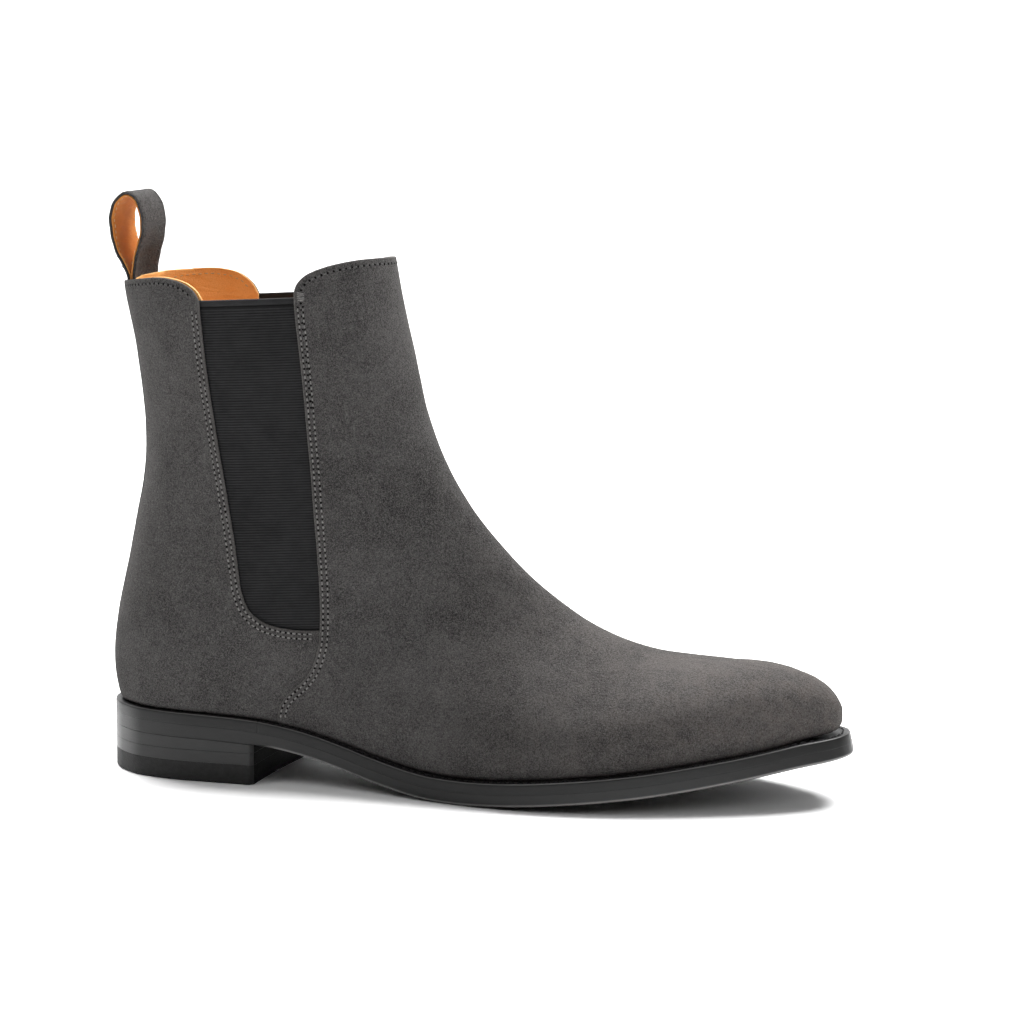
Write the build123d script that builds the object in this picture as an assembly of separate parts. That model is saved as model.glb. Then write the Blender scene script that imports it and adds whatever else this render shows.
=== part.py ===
from build123d import *
import os
import numpy as np

# ---------------------------------------------------------------- sizes (mm)
SOLE_LENGTH = 300.0        # outsole, heel back to toe tip
ORIGIN_X = 35.5            # the part's origin: centre of the heel's ground face
SUEDE_T = 1.4              # outer suede
MID_T = 1.0                # interlining, counter, puff, elastic
LINING_T = 1.0             # lining leather
OUTSOLE_T = 5.2
WELT_T = 4.5
EDGE_T = OUTSOLE_T + WELT_T
TOP_PIECE_T = 7.6          # rubber top piece of the heel
LIFT_SPLIT = 12.4          # height of the joint between the two leather lifts
HEEL_BREAST_X = 71.0
MARGIN = 20.0              # sole edge to the inner edge of the lasting margin
INSOLE_T = 2.2
SOCK_T = 1.0
FLEX_Z = 86.0              # height at which the back of the shaft bends
FLEX_GAP = 0.15
SPLIT_Y = 0.3              # back seam, just beside the boot's centre plane
SEAM_ALLOWANCE = 8.0       # elastic sewn under the suede
BACKSTAY_W = 11.0
BACKSTAY_T = 0.8
STRAP_W = 24.0             # pull loop
STRAP_SUEDE_T = 1.2
STRAP_LINING_T = 1.0
LOOP_AXIS = (10.6, 196.4)  # x, z of the line about which the loop folds
LOOP_FOOT_R = 2.3

# ---------------------------------------------------------------- curves
def pchip(X, Y, x):
    X = np.asarray(X, float); Y = np.asarray(Y, float); x = np.asarray(x, float)
    h = np.diff(X); d = np.diff(Y) / h; m = np.zeros_like(Y)
    for i in range(1, len(X) - 1):
        if d[i - 1] * d[i] > 0:
            w1 = 2 * h[i] + h[i - 1]; w2 = h[i] + 2 * h[i - 1]
            m[i] = (w1 + w2) / (w1 / d[i - 1] + w2 / d[i])
    m[0] = d[0]; m[-1] = d[-1]
    k = np.clip(np.searchsorted(X, x) - 1, 0, len(X) - 2)
    t = np.clip((x - X[k]) / h[k], 0, 1)
    return (Y[k] * (1 + 2 * t) * (1 - t) ** 2 + m[k] * h[k] * t * (1 - t) ** 2
            + Y[k + 1] * t * t * (3 - 2 * t) + m[k + 1] * h[k] * t * t * (t - 1))


def cubic(X, Y, x):
    X = np.asarray(X, float); Y = np.asarray(Y, float); x = np.asarray(x, float)
    h = np.diff(X); d = np.diff(Y) / h; m = np.zeros_like(Y)
    m[1:-1] = (d[:-1] * h[1:] + d[1:] * h[:-1]) / (h[1:] + h[:-1])
    m[0] = 2 * d[0] - m[1]; m[-1] = 2 * d[-1] - m[-2]
    k = np.clip(np.searchsorted(X, x) - 1, 0, len(X) - 2)
    t = (x - X[k]) / h[k]
    return (Y[k] * (1 + 2 * t) * (1 - t) ** 2 + m[k] * h[k] * t * (1 - t) ** 2
            + Y[k + 1] * t * t * (3 - 2 * t) + m[k + 1] * h[k] * t * t * (t - 1))


# sole outline: half widths to the lateral (-y) and medial (+y) side
LAT_X = [0, 1.2, 4, 10, 22, 42, 65, 90, 120, 148, 170, 187, 204, 222, 242, 262, 277, 289, 296.5, 299.6, 300.]
LAT_Y = [0, 6.5, 13, 21, 29.5, 34, 34.8, 35.2, 38, 44.5, 49.3, 51.2, 50.6, 47.4, 41.2, 32.8, 25.2, 17.2, 9.6, 3.0, 0.]
MED_X = [0, 1.2, 4, 10, 22, 42, 65, 90, 118, 145, 165, 185, 203, 220, 238, 256, 272, 285, 294, 299, 300.]
MED_Y = [0, 6.5, 13, 21, 29.5, 33.5, 33.0, 29.5, 27.0, 32, 39.5, 46.5, 50, 50.3, 47.6, 41.8, 34.2, 26, 17.5, 7.5, 0.]
# underside of the outsole along the boot: heel seat, waist, tread, toe spring
UND_X = [0, 30, 60, 72, 84, 96, 108, 120, 132, 144, 156, 168, 180, 192, 204, 216, 228, 240, 252, 264, 276, 288, 300]
UND_Z = [17.6, 17.2, 16.4, 15.6, 13.9, 11.4, 8.2, 4.7, 2.0, .35, 0., .4, 1.2, 2.2, 3.4, 4.7, 6.2, 8.0, 10.1, 12.4, 14.9, 17.5, 20.3]


def under(x):
    return cubic(UND_X, UND_Z, x)


def feather(x):
    return under(x) + EDGE_T


# girth sections, from above the collar down to the toe. Each lies in the plane
# through its rear/bottom point B, its front/top point T and the y direction.
#   Bx   Bz   Tx     Tz   ridge y  half widths lat med, widest at, fullness B T
SEC = np.array([
    (5.2, 222, 114.5, 222, 0, 34.5, 34.0, .52, .00, .06),
    (6.0, 206, 117.2, 206, 0, 34.2, 33.8, .52, .00, .06),
    (6.9, 190, 120.3, 188, 0, 33.8, 33.5, .52, .00, .06),
    (10.2, 174, 124.2, 172, 0, 33.2, 33.0, .51, .00, .06),
    (12.9, 158, 127.6, 156.5, 0, 32.4, 32.3, .50, .00, .07),
    (14.6, 142, 131.0, 142, 0, 31.6, 31.6, .49, .00, .08),
    (14.9, 127, 136.0, 129, 0, 31.2, 31.3, .47, -.02, .10),
    (13.2, 112, 140.8, 119.5, 0, 31.2, 31.3, .45, -.04, .12),
    (10.3, 98, 145.0, 112.5, 0, 31.7, 31.6, .42, -.08, .14),
    (7.2, 84, 149.3, 106.3, 0, 32.5, 32.3, .38, -.12, .16),
    (4.2, 70, 153.6, 101.0, 0, 33.4, 33.0, .34, -.16, .18),
    (1.9, 56, 158.0, 95.9, 0, 34.3, 33.6, .31, -.18, .20),
    (1.0, 43, 162.5, 91.2, 0, 34.9, 34.0, .29, -.20, .21),
    (2.6, 30, 167.0, 86.7, 0, 35.2, 34.2, .28, -.22, .22),
    (7.5, 19, 171.5, 82.3, .5, 35.4, 34.2, .28, -.24, .23),
    (18.0, 12, 176.5, 78.0, 1, 35.6, 34.2, .28, -.26, .23),
    (33.0, 9, 181.7, 73.8, 1.5, 36.5, 34.2, .29, -.28, .23),
    (52.0, 7, 187.5, 69.6, 2, 38.0, 34.6, .30, -.30, .22),
    (74.0, 4, 194.2, 65.3, 2.5, 40.5, 35.6, .32, -.32, .21),
    (98.0, 0, 201.6, 61.3, 3, 43.6, 37.8, .34, -.34, .19),
    (122., -5, 209.6, 57.9, 3.5, 46.8, 40.8, .36, -.36, .16),
    (146., -8, 218.3, 55.2, 4, 48.8, 43.4, .38, -.38, .13),
    (170., -8, 227.5, 53.5, 4, 49.2, 45.6, .40, -.39, .10),
    (194., -6, 237.2, 52.7, 3.5, 47.2, 46.8, .42, -.40, .07),
    (217., -3, 247.5, 52.3, 2.5, 42.6, 45.2, .43, -.40, .04),
    (238., 0, 258.5, 51.6, 1.5, 36.6, 41.4, .44, -.40, .01),
    (256., 4, 269.5, 49.6, .8, 30.0, 35.6, .45, -.40, -.02),
    (270., 8, 279.2, 46.0, .3, 23.8, 29.2, .46, -.38, -.04),
    (280., 12, 286.6, 41.8, 0, 18.0, 22.6, .48, -.34, -.05),
    (287., 16, 291.2, 37.6, 0, 12.4, 15.6, .50, -.28, -.04),
    (291., 20, 293.8, 33.9, 0, 6.6, 8.4, .50, -.16, -.02),
])
# waisting of the upper down to the feather line, lateral and medial
WST_X = [0, 4, 8, 14, 22, 34, 50, 68, 86, 104, 122, 140, 158, 176, 194, 212, 230, 246, 260, 272, 281, 287, 291, 294]
WST_L = [.95, .94, .928, .912, .936, .937, .921, .893, .853, .818, .811, .845, .891, .932, .951, .962, .962, .947, .926, .897, .863, .832, .889, .889]
WST_M = [.96, .95, .949, .937, .964, .962, .928, .888, .786, .696, .634, .67, .763, .877, .955, .974, .99, .978, .962, .94, .93, .956, 1., 1.]
_mid = (SEC[:, :2] + SEC[:, 2:4]) / 2
_dv = (np.hypot(*np.diff(_mid, axis=0).T) + .5 * np.hypot(*np.diff(SEC[:, :2], axis=0).T)
       + .5 * np.hypot(*np.diff(SEC[:, 2:4], axis=0).T))
V = np.concatenate([[0], np.cumsum(_dv)]); V /= V[-1]


def boot(v, th):
    """Outer surface of the upper: v along the boot, th round the section."""
    P = [cubic(V, SEC[:, i], v) for i in range(10)]
    Bx, Bz, Tx, Tz, yr, Wl, Wm, sw, cB, cT = P
    L = np.hypot(Tx - Bx, Tz - Bz); ux = (Tx - Bx) / L; uz = (Tz - Bz) / L
    c = np.cos(th); s = np.sin(th); u = np.abs(c)
    W = np.where(s >= 0, Wm - yr, Wl + yr)
    d = sw * L + np.where(c >= 0, (1 - sw) * L * u, -sw * L * u)
    w = W * np.abs(s) * (1 - np.where(c >= 0, cT, cB) * u * u)
    x = Bx + ux * d; z = Bz + uz * d; y = yr + np.sign(s) * w
    h = 1 - np.clip((z - feather(x)) / 34., 0, 1); h = h * h * (3 - 2 * h)
    r = np.where(y < 0, pchip(WST_X, WST_L, x), pchip(WST_X, WST_M, x))
    return np.stack([x, y * (1 - h * (1 - r)), z], -1)


def layer(v, th, off):
    """The same surface moved inwards along its normal."""
    e = 1e-4
    v0 = np.clip(v - e, 0, 1); v1 = np.clip(v + e, 0, 1)
    n = np.cross(boot(v1, th) - boot(v0, th), boot(v, th + 1e-3) - boot(v, th - 1e-3))
    n /= np.linalg.norm(n, axis=-1)[..., None]
    return boot(v, th) + n * off * SIGN


_p = np.array([.2]); _q = np.array([.0])
SIGN = 1.0
SIGN = 1.0 if (layer(_p, _q, 1.) - boot(_p, _q))[0, 0] < 0 else -1.0

NTH = 32
THETA = 2 * np.pi * np.arange(NTH) / NTH


def loft_at(off):
    wires = []
    k = NTH // 2
    q4 = NTH // 4
    par = [float(i) / k for i in range(k + 1)]
    for v in V:
        g = layer(np.full(NTH, v), THETA, off)
        if v in (V[0], V[-1]):          # the end sections carry flat caps
            m = np.cross(g[0] - g[k], (0, 1, 0)); m /= np.linalg.norm(m)
            g = g - ((g - g.mean(0)) @ m)[:, None] * m
        g = np.roll(g, -q4, 0)          # the two edges meet at the sides of the boot
        t0 = g[1] - g[-1]; t1 = g[k + 1] - g[k - 1]
        t0 /= np.linalg.norm(t0); t1 /= np.linalg.norm(t1)
        p = [Vector(*map(float, q)) for q in g]
        a = Vector(*map(float, t0)); b = Vector(*map(float, t1))
        rear = Edge.make_spline(p[:k + 1], tangents=[a, b], parameters=par)
        front = Edge.make_spline(p[k:] + [p[0]], tangents=[b, a], parameters=par)
        wires.append(Wire([rear, front]))
    return Solid.make_loft(wires, ruled=False)


def xz(pts):
    return [(float(p[0]), 0.0, float(p[1])) for p in pts]


def side_prism(edges, y0=-90.0, y1=90.0):
    """Solid with the given side-view outline, from y0 to y1."""
    f = Face(Wire(edges))
    s = Solid.extrude(f.moved(Location((0, y0, 0))), Vector(0, y1 - y0, 0))
    return s


def poly_edges(pts):
    p = xz(pts)
    return [Edge.make_line(p[i], p[i + 1]) for i in range(len(p) - 1)]


def spl(pts):
    return Edge.make_spline([Vector(*p) for p in xz(pts)])


def band(fn0, fn1, y0=-90., y1=90.):
    """Solid between two side-view height curves, along the whole boot."""
    X = np.linspace(-24, 324, 59)
    lo = [(x, float(fn0(x))) for x in X]; hi = [(x, float(fn1(x))) for x in X]
    return side_prism([spl(lo), Edge.make_line(xz([lo[-1]])[0], xz([hi[-1]])[0]), spl(hi[::-1]),
                       Edge.make_line(xz([hi[0]])[0], xz([lo[0]])[0])], y0, y1)


def outline(inset=0.0):
    """Plan outline of the sole, moved inwards, as a face at z=0."""
    t = np.linspace(0, 1, 2001)
    X = SOLE_LENGTH * (0.5 - 0.5 * np.cos(np.pi * t))
    P = np.concatenate([np.stack([X, -pchip(LAT_X, LAT_Y, X)], 1),
                        np.stack([X, pchip(MED_X, MED_Y, X)], 1)[::-1][1:-1]])
    d = np.roll(P, -1, 0) - P; s = np.concatenate([[0], np.cumsum(np.hypot(*d.T))])
    n = 72
    q = np.linspace(0, s[-1], n, endpoint=False)
    Q = np.stack([np.interp(q, s, np.append(P[:, i], P[0, i])) for i in (0, 1)], 1)
    e = Edge.make_spline([Vector(float(a), float(b), 0) for a, b in Q], periodic=True)
    f = Face(Wire([e]))
    if inset == 0:
        return f
    T = np.roll(Q, -1, 0) - np.roll(Q, 1, 0); T /= np.hypot(*T.T)[:, None]
    I = Q + inset * np.stack([-T[:, 1], T[:, 0]], 1)
    keep = []
    D = np.hypot(P[:, None, 0] - I[None, :, 0], P[:, None, 1] - I[None, :, 1]).min(0)
    for i in range(n):
        if D[i] > inset - .35:
            keep.append(I[i])
    e = Edge.make_spline([Vector(float(a), float(b), 0) for a, b in keep], periodic=True)
    return Face(Wire([e]))


def column(f, z0, z1):
    return Solid.extrude(f.moved(Location((0, 0, z0))), Vector(0, 0, z1 - z0))


def solids(s):
    return [x for x in (s.solids() if s is not None else [])]


def biggest(s, keep=1):
    L = sorted(s.solids(), key=lambda q: -q.volume)
    return L[0] if keep == 1 else Compound(children=L[:keep])


# ---------------------------------------------------------------- seams (side view x, z)
SEAM_FRONT_LOW = [(79.5, -20), (80.6, 8), (81.2, 22), (80.9, 27.3), (81.6, 30.8), (83.9, 34.6), (87.3, 37.9), (91.2, 41.3),
                  (94.1, 45.1), (96.2, 49.6), (97.6, 55.1), (98.0, 61.1)]
SEAM_FRONT_UP = [(98.0, 61.1), (97.9, 67.5), (97.3, 79.8), (96.2, 93.9), (94.9, 108.6), (94.0, 121.3), (92.9, 134.3),
                 (92.0, 146.7), (91.0, 159.0), (89.8, 171.3), (88.7, 181.8), (88.2, 190.1)]
SEAM_REAR = [(98.0, 61.1), (90.4, 60.8), (82.3, 61.5), (75.0, 63.6), (69.4, 67.8), (66.2, 74.4), (64.5, 82.9), (62.6, 95.0),
             (60.2, 106.8), (57.5, 120.2), (55.0, 133.3), (53.1, 144.9), (51.6, 156.5), (50.5, 167.0), (49.8, 175.9),
             (49.3, 182.7), (49.0, 187.0)]
TOP_REAR = [(49.0, 187.0), (46.4, 190.9), (42.2, 193.4), (34.7, 195.2), (18.4, 194.5), (9.6, 193.5), (-20, 192.6)]
TOP_FRONT = [(88.2, 190.1), (88.9, 193.4), (91.4, 196.6), (97.0, 199.6), (104.6, 201.9), (111.5, 203.1), (119.5, 203.6), (150, 204.2)]
GORE_TOP = [(36.0, 186.6), (49.0, 187.1), (62.0, 187.9), (75.0, 188.4), (88.2, 188.9), (101.0, 189.2)]

line = lambda a, b: Edge.make_line(xz([a])[0], xz([b])[0])
REAR_PANEL = side_prism([spl(SEAM_FRONT_LOW), spl(SEAM_REAR), spl(TOP_REAR)] + poly_edges([(-20, 192.6), (-20, -20), (79.5, -20)]))
FRONT_PANEL = side_prism([spl(SEAM_FRONT_LOW), spl(SEAM_FRONT_UP), spl(TOP_FRONT)] + poly_edges([(150, 204.2), (330, 204.2), (330, -20), (79.5, -20)]))
A = SEAM_ALLOWANCE
GORE_LEFT = [(x - A, z) for x, z in SEAM_REAR[6:]]
gl = [(GORE_LEFT[-1][0], 186.5)] + GORE_LEFT[::-1][1:]
GORE_PANEL = side_prism([spl(GORE_TOP), line((101.0, 189.2), (98.6, 171)), line((98.6, 171), (106., 67.5)),
                         line((106., 67.5), (104.5, 53.5)), line((104.5, 53.5), (82, 53.2)),
                         spl([(82, 53.2), (70.5, 56.2), (62.0, 63.0), (57.6, 72.6), (56.5, 82.9)]),
                         spl(GORE_LEFT[:-1] + [(41.2, 184.0)]), line((41.2, 184.0), (36.0, 186.6))])

# ---------------------------------------------------------------- layers of the upper
def region_above(off):
    return band(lambda x: feather(x) + off, lambda x: x * 0 + 240.0)


print("lofting")
T1, T2, T3 = SUEDE_T, SUEDE_T + MID_T, SUEDE_T + MID_T + LINING_T
L0, L1, L2, L3 = loft_at(0), loft_at(T1), loft_at(T2), loft_at(T3)
for l in (L0, L1, L2, L3):
    print("  loft", round(l.volume), l.is_valid)
S = [l & region_above(o) for l, o in ((L0, 0), (L1, T1), (L2, T2), (L3, T3))]
print("layers", [round(s.volume) for s in S])
inner_plan = outline(MARGIN)
CORE = column(inner_plan, -20, 80) & band(lambda x: x * 0 - 30.0, lambda x: feather(x) + T3)

HALF = 400.0
LATERAL = Solid.make_box(HALF, 90 + SPLIT_Y, 300, Plane((-40, -90, -30)))
MEDIAL = Solid.make_box(HALF, 90, 300, Plane((-40, SPLIT_Y, -30)))
ABOVE = Solid.make_box(HALF, 200, 200, Plane((-40, -100, FLEX_Z + FLEX_GAP)))
BELOW = Solid.make_box(HALF, 200, 200, Plane((-40, -100, FLEX_Z - 200)))
parts = {}


def shell(i, panel, *keep):
    """The piece of layer i that lies inside a side-view panel and every keep solid."""
    a = S[i] & panel
    for k in keep:
        a = a & k
    ways = (lambda: a - S[i + 1],
            lambda: a - (S[i + 1] & panel),
            lambda: ((a & LATERAL) - S[i + 1]) + ((a & MEDIAL) - S[i + 1]),
            lambda: ((a & LATERAL) - (S[i + 1] & LATERAL)) + ((a & MEDIAL) - (S[i + 1] & MEDIAL)))
    for w in ways:
        b = w()
        if b is not None and 0 < b.volume < .35 * a.volume:
            return b
    raise ValueError("shell failed")


# ---- suede
parts["vamp"] = shell(0, FRONT_PANEL) - CORE
parts["quarter_lateral"] = shell(0, REAR_PANEL, LATERAL, ABOVE)
parts["quarter_medial"] = shell(0, REAR_PANEL, MEDIAL, ABOVE)
parts["quarter_lateral_heel"] = shell(0, REAR_PANEL, LATERAL, BELOW) - CORE
parts["quarter_medial_heel"] = shell(0, REAR_PANEL, MEDIAL, BELOW) - CORE
print("suede done")
# ---- backstay, a narrow strip outside the back seam
strip = Solid.make_box(60, BACKSTAY_W, 200, Plane((-20, -BACKSTAY_W / 2, 0)))
skin = (loft_at(-BACKSTAY_T) & strip & side_prism([spl(TOP_REAR)] + poly_edges([(-20, 192.6), (-20, -20), (49.0, -20), (49.0, 187.0)])))
skin = (skin & region_above(0.3)) - L0
parts["backstay"] = biggest(skin & ABOVE)
parts["backstay_heel"] = biggest(skin & BELOW)

# ---- middle layer
parts["gore_lateral"] = shell(1, GORE_PANEL, LATERAL)
parts["gore_medial"] = shell(1, GORE_PANEL, MEDIAL)
COUNTER = side_prism([spl([(-20, 74), (10, 74), (36, 68), (62, 50), (84, 36), (100, 26), (112, -20)]),
                      line((112, -20), (-20, -20)), line((-20, -20), (-20, 74))])
parts["heel_counter"] = (shell(1, COUNTER) - GORE_PANEL) - CORE
PUFF = Solid.make_box(100, 200, 120, Plane((240, -100, -20)))
parts["toe_puff"] = shell(1, PUFF) - CORE
trim_top = side_prism([spl([(x, z - 4) for x, z in TOP_FRONT]), line((150, 200.2), (240, 200)), line((240, 200), (240, 18)),
                       line((240, 18), (92, 18))] + [line((92, 18), (88.2, 186.1))])
mid_front = shell(1, FRONT_PANEL) & trim_top
parts["vamp_interlining"] = biggest(((mid_front - GORE_PANEL) - COUNTER) - CORE)
TAILS = Solid.make_box(60, STRAP_W, 18, Plane((-20, -STRAP_W / 2, 173)))
rear_mid = shell(1, REAR_PANEL, ABOVE) - GORE_PANEL
rear_mid = rear_mid & side_prism([spl([(x, z - 3) for x, z in TOP_REAR]), line((-20, 189.6), (-20, 0)), line((-20, 0), (60, 0)),
                                  line((60, 0), (60, 184)), line((60, 184), (49, 184))])
parts["pull_loop_tails"] = rear_mid & TAILS
rear_mid = rear_mid - TAILS
parts["quarter_interlining_lateral"] = rear_mid & LATERAL
parts["quarter_interlining_medial"] = rear_mid & MEDIAL
print("middle done")
# ---- lining
parts["vamp_lining"] = shell(2, FRONT_PANEL) - CORE
parts["quarter_lining_lateral"] = shell(2, REAR_PANEL, LATERAL, ABOVE)
parts["quarter_lining_medial"] = shell(2, REAR_PANEL, MEDIAL, ABOVE)
parts["heel_lining"] = shell(2, REAR_PANEL, BELOW) - CORE
print("lining done")

# ---------------------------------------------------------------- bottom
plan = outline(0)
full = column(plan, -20, 60)
outsole = full & band(under, lambda x: under(x) + OUTSOLE_T)
ring = (full & band(lambda x: under(x) + OUTSOLE_T, feather)) - column(inner_plan, -20, 60)
FRONT_HALF = Solid.make_box(400, 200, 200, Plane((HEEL_BREAST_X + 4, -100, -50)))
BACK_HALF = Solid.make_box(100, 200, 200, Plane((HEEL_BREAST_X + 4 - 100, -100, -50)))
parts["welt"] = ring & FRONT_HALF
parts["heel_seat_rand"] = ring & BACK_HALF
filler = column(inner_plan, -20, 60) & band(lambda x: under(x) + OUTSOLE_T, lambda x: feather(x) + T3)
shank = band(lambda x: under(x) + OUTSOLE_T + 3.4, lambda x: under(x) + OUTSOLE_T + 4.6, -7, 7) & Solid.make_box(104, 30, 80, Plane((48, -15, -20)))
parts["shank"] = shank
parts["cork_filler"] = filler - shank
bottom_in = S[3] & band(lambda x: x * 0 - 30.0, lambda x: feather(x) + T3 + INSOLE_T)
pad_plan = outline(12.0)
pad = (column(pad_plan, -20, 60) & band(lambda x: feather(x) + T3 + INSOLE_T - 1.3, lambda x: feather(x) + T3 + INSOLE_T)
       & Solid.make_box(60, 200, 200, Plane((10, -100, -50))))
parts["heel_pad"] = pad
parts["insole"] = bottom_in - pad
parts["sock_liner"] = S[3] & band(lambda x: feather(x) + T3 + INSOLE_T, lambda x: feather(x) + T3 + INSOLE_T + SOCK_T)

heel = column(plan, 0, 30) & Solid.make_box(HEEL_BREAST_X + 20, 200, 60, Plane((-20, -100, -1)))
heel = heel & band(lambda x: x * 0 - 5.0, under)
slab = lambda z0, z1: Solid.make_box(200, 200, z1 - z0, Plane((-40, -100, z0)))
# nails: five through the lifts into the outsole, seven brads in the top piece
nails = [Solid.make_cylinder(0.9, 18.5 - 9.0, Plane((x, y, 9.0))) for x, y in ((16, 0), (30, 17), (30, -17), (54, 15), (54, -15))]
brads = []
for x, y in ((9, 0), (16, 17), (16, -17), (36, 25), (36, -25), (60, 25), (60, -25)):
    brads.append(Solid.make_cylinder(0.8, 10.5, Plane((x, y, 0))))


def cut(s, tools):
    for t in tools:
        s = s - t
    return s


parts["heel_top_piece"] = cut(heel & slab(-1, TOP_PIECE_T), brads)
parts["heel_lift_lower"] = cut(heel & slab(TOP_PIECE_T, LIFT_SPLIT), nails + brads)
parts["heel_lift_upper"] = cut(heel & slab(LIFT_SPLIT, 40), nails)
parts["outsole"] = cut(outsole, nails)
parts["heel_nails"] = Compound(children=nails)
parts["top_piece_nails"] = Compound(children=brads)
print("bottom done")

# ---------------------------------------------------------------- pull loop
ax, az = LOOP_AXIS
MIDLINE = [(ax - 1.15, az + .6), (ax - 3.0, az + 5.6), (ax - 5.6, az + 12.4), (ax - 6.3, az + 19.6), (ax - 5.3, az + 25.6),
           (ax - 1.4, az + 29.6), (ax + 3.2, az + 27.6), (ax + 5.6, az + 21.4), (ax + 5.2, az + 13.0), (ax + 3.0, az + 5.6), (ax + 1.15, az + .6)]


def strap_face(o0, o1):
    """Closed ring section of the strap between two offsets from its lining/suede boundary."""
    t = np.arange(len(MIDLINE)); M = np.array(MIDLINE)
    q = np.linspace(0, t[-1], 61)
    C = np.stack([cubic(t, M[:, i], q) for i in (0, 1)], 1)
    T = np.gradient(C, axis=0); T /= np.hypot(*T.T)[:, None]
    N = np.stack([-T[:, 1], T[:, 0]], 1)
    a = C + o0 * N; b = C + o1 * N
    return side_prism([spl(a), line(a[-1], b[-1]), spl(b[::-1]), line(b[0], a[0])], -STRAP_W / 2, STRAP_W / 2)


foot = Solid.make_cylinder(LOOP_FOOT_R, STRAP_W, Plane((ax, -STRAP_W / 2, az), z_dir=(0, 1, 0)))
suede_loop = strap_face(0, STRAP_SUEDE_T)
lining_loop = strap_face(-STRAP_LINING_T, 0)
if lining_loop.volume > suede_loop.volume:
    suede_loop, lining_loop = strap_face(-STRAP_SUEDE_T, 0), strap_face(0, STRAP_LINING_T)
lining_loop = biggest(lining_loop - foot)
suede_loop = biggest((suede_loop + foot) - lining_loop)
parts["pull_loop"] = suede_loop
parts["pull_loop_lining"] = lining_loop

# ---------------------------------------------------------------- write
os.makedirs("parts", exist_ok=True)
for f in os.listdir("parts"):
    if f.endswith(".step") and f[:-5] not in parts:
        os.remove(os.path.join("parts", f))
for name, s in parts.items():
    if s is None:
        print("MISSING", name)
        continue
    if not isinstance(s, (Solid, Compound)):
        s = Compound(children=list(s.solids())) if len(s.solids()) > 1 else s.solids()[0]
    n = len(s.solids())
    print(f"{name:32s} solids {n} volume {s.volume:10.1f} valid {s.is_valid}")
    export_step(s.moved(Location((-ORIGIN_X, 0, 0))), f"parts/{name}.step")
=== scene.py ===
import bpy, math
import numpy as np
from mathutils import Matrix, Vector


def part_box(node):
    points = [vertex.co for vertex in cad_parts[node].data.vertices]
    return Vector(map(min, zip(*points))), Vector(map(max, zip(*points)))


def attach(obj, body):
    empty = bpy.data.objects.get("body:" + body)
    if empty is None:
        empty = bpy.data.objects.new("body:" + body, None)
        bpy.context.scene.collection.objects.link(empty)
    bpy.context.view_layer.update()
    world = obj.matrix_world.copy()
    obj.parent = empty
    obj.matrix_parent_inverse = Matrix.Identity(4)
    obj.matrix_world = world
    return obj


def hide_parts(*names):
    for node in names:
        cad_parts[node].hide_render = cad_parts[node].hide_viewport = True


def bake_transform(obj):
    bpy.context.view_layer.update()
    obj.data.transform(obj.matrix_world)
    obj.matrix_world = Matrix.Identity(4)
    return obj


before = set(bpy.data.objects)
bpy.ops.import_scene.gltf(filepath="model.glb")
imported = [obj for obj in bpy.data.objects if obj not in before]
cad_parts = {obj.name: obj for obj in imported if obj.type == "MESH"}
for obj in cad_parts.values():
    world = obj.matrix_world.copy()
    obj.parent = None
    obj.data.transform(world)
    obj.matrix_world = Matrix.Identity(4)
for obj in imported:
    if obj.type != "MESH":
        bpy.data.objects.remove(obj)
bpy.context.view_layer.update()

OX = 35.5                       # mm from the heel's back to the origin
MM = 0.001
rng = np.random.default_rng(7)

# ------------------------------------------------------------------ curves (mm, x from the heel's back)
def pchip(X, Y, x):
    X = np.asarray(X, float); Y = np.asarray(Y, float); x = np.asarray(x, float)
    h = np.diff(X); d = np.diff(Y) / h; m = np.zeros_like(Y)
    for i in range(1, len(X) - 1):
        if d[i - 1] * d[i] > 0:
            w1 = 2 * h[i] + h[i - 1]; w2 = h[i] + 2 * h[i - 1]
            m[i] = (w1 + w2) / (w1 / d[i - 1] + w2 / d[i])
    m[0] = d[0]; m[-1] = d[-1]
    k = np.clip(np.searchsorted(X, x) - 1, 0, len(X) - 2)
    t = np.clip((x - X[k]) / h[k], 0, 1)
    return (Y[k] * (1 + 2 * t) * (1 - t) ** 2 + m[k] * h[k] * t * (1 - t) ** 2
            + Y[k + 1] * t * t * (3 - 2 * t) + m[k + 1] * h[k] * t * t * (t - 1))


def cubic(X, Y, x):
    X = np.asarray(X, float); Y = np.asarray(Y, float); x = np.asarray(x, float)
    h = np.diff(X); d = np.diff(Y) / h; m = np.zeros_like(Y)
    m[1:-1] = (d[:-1] * h[1:] + d[1:] * h[:-1]) / (h[1:] + h[:-1])
    m[0] = 2 * d[0] - m[1]; m[-1] = 2 * d[-1] - m[-2]
    k = np.clip(np.searchsorted(X, x) - 1, 0, len(X) - 2)
    t = (x - X[k]) / h[k]
    return (Y[k] * (1 + 2 * t) * (1 - t) ** 2 + m[k] * h[k] * t * (1 - t) ** 2
            + Y[k + 1] * t * t * (3 - 2 * t) + m[k + 1] * h[k] * t * t * (t - 1))


def sstep(a, b, x):
    t = np.clip((np.asarray(x, float) - a) / (b - a), 0, 1)
    return t * t * (3 - 2 * t)


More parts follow.
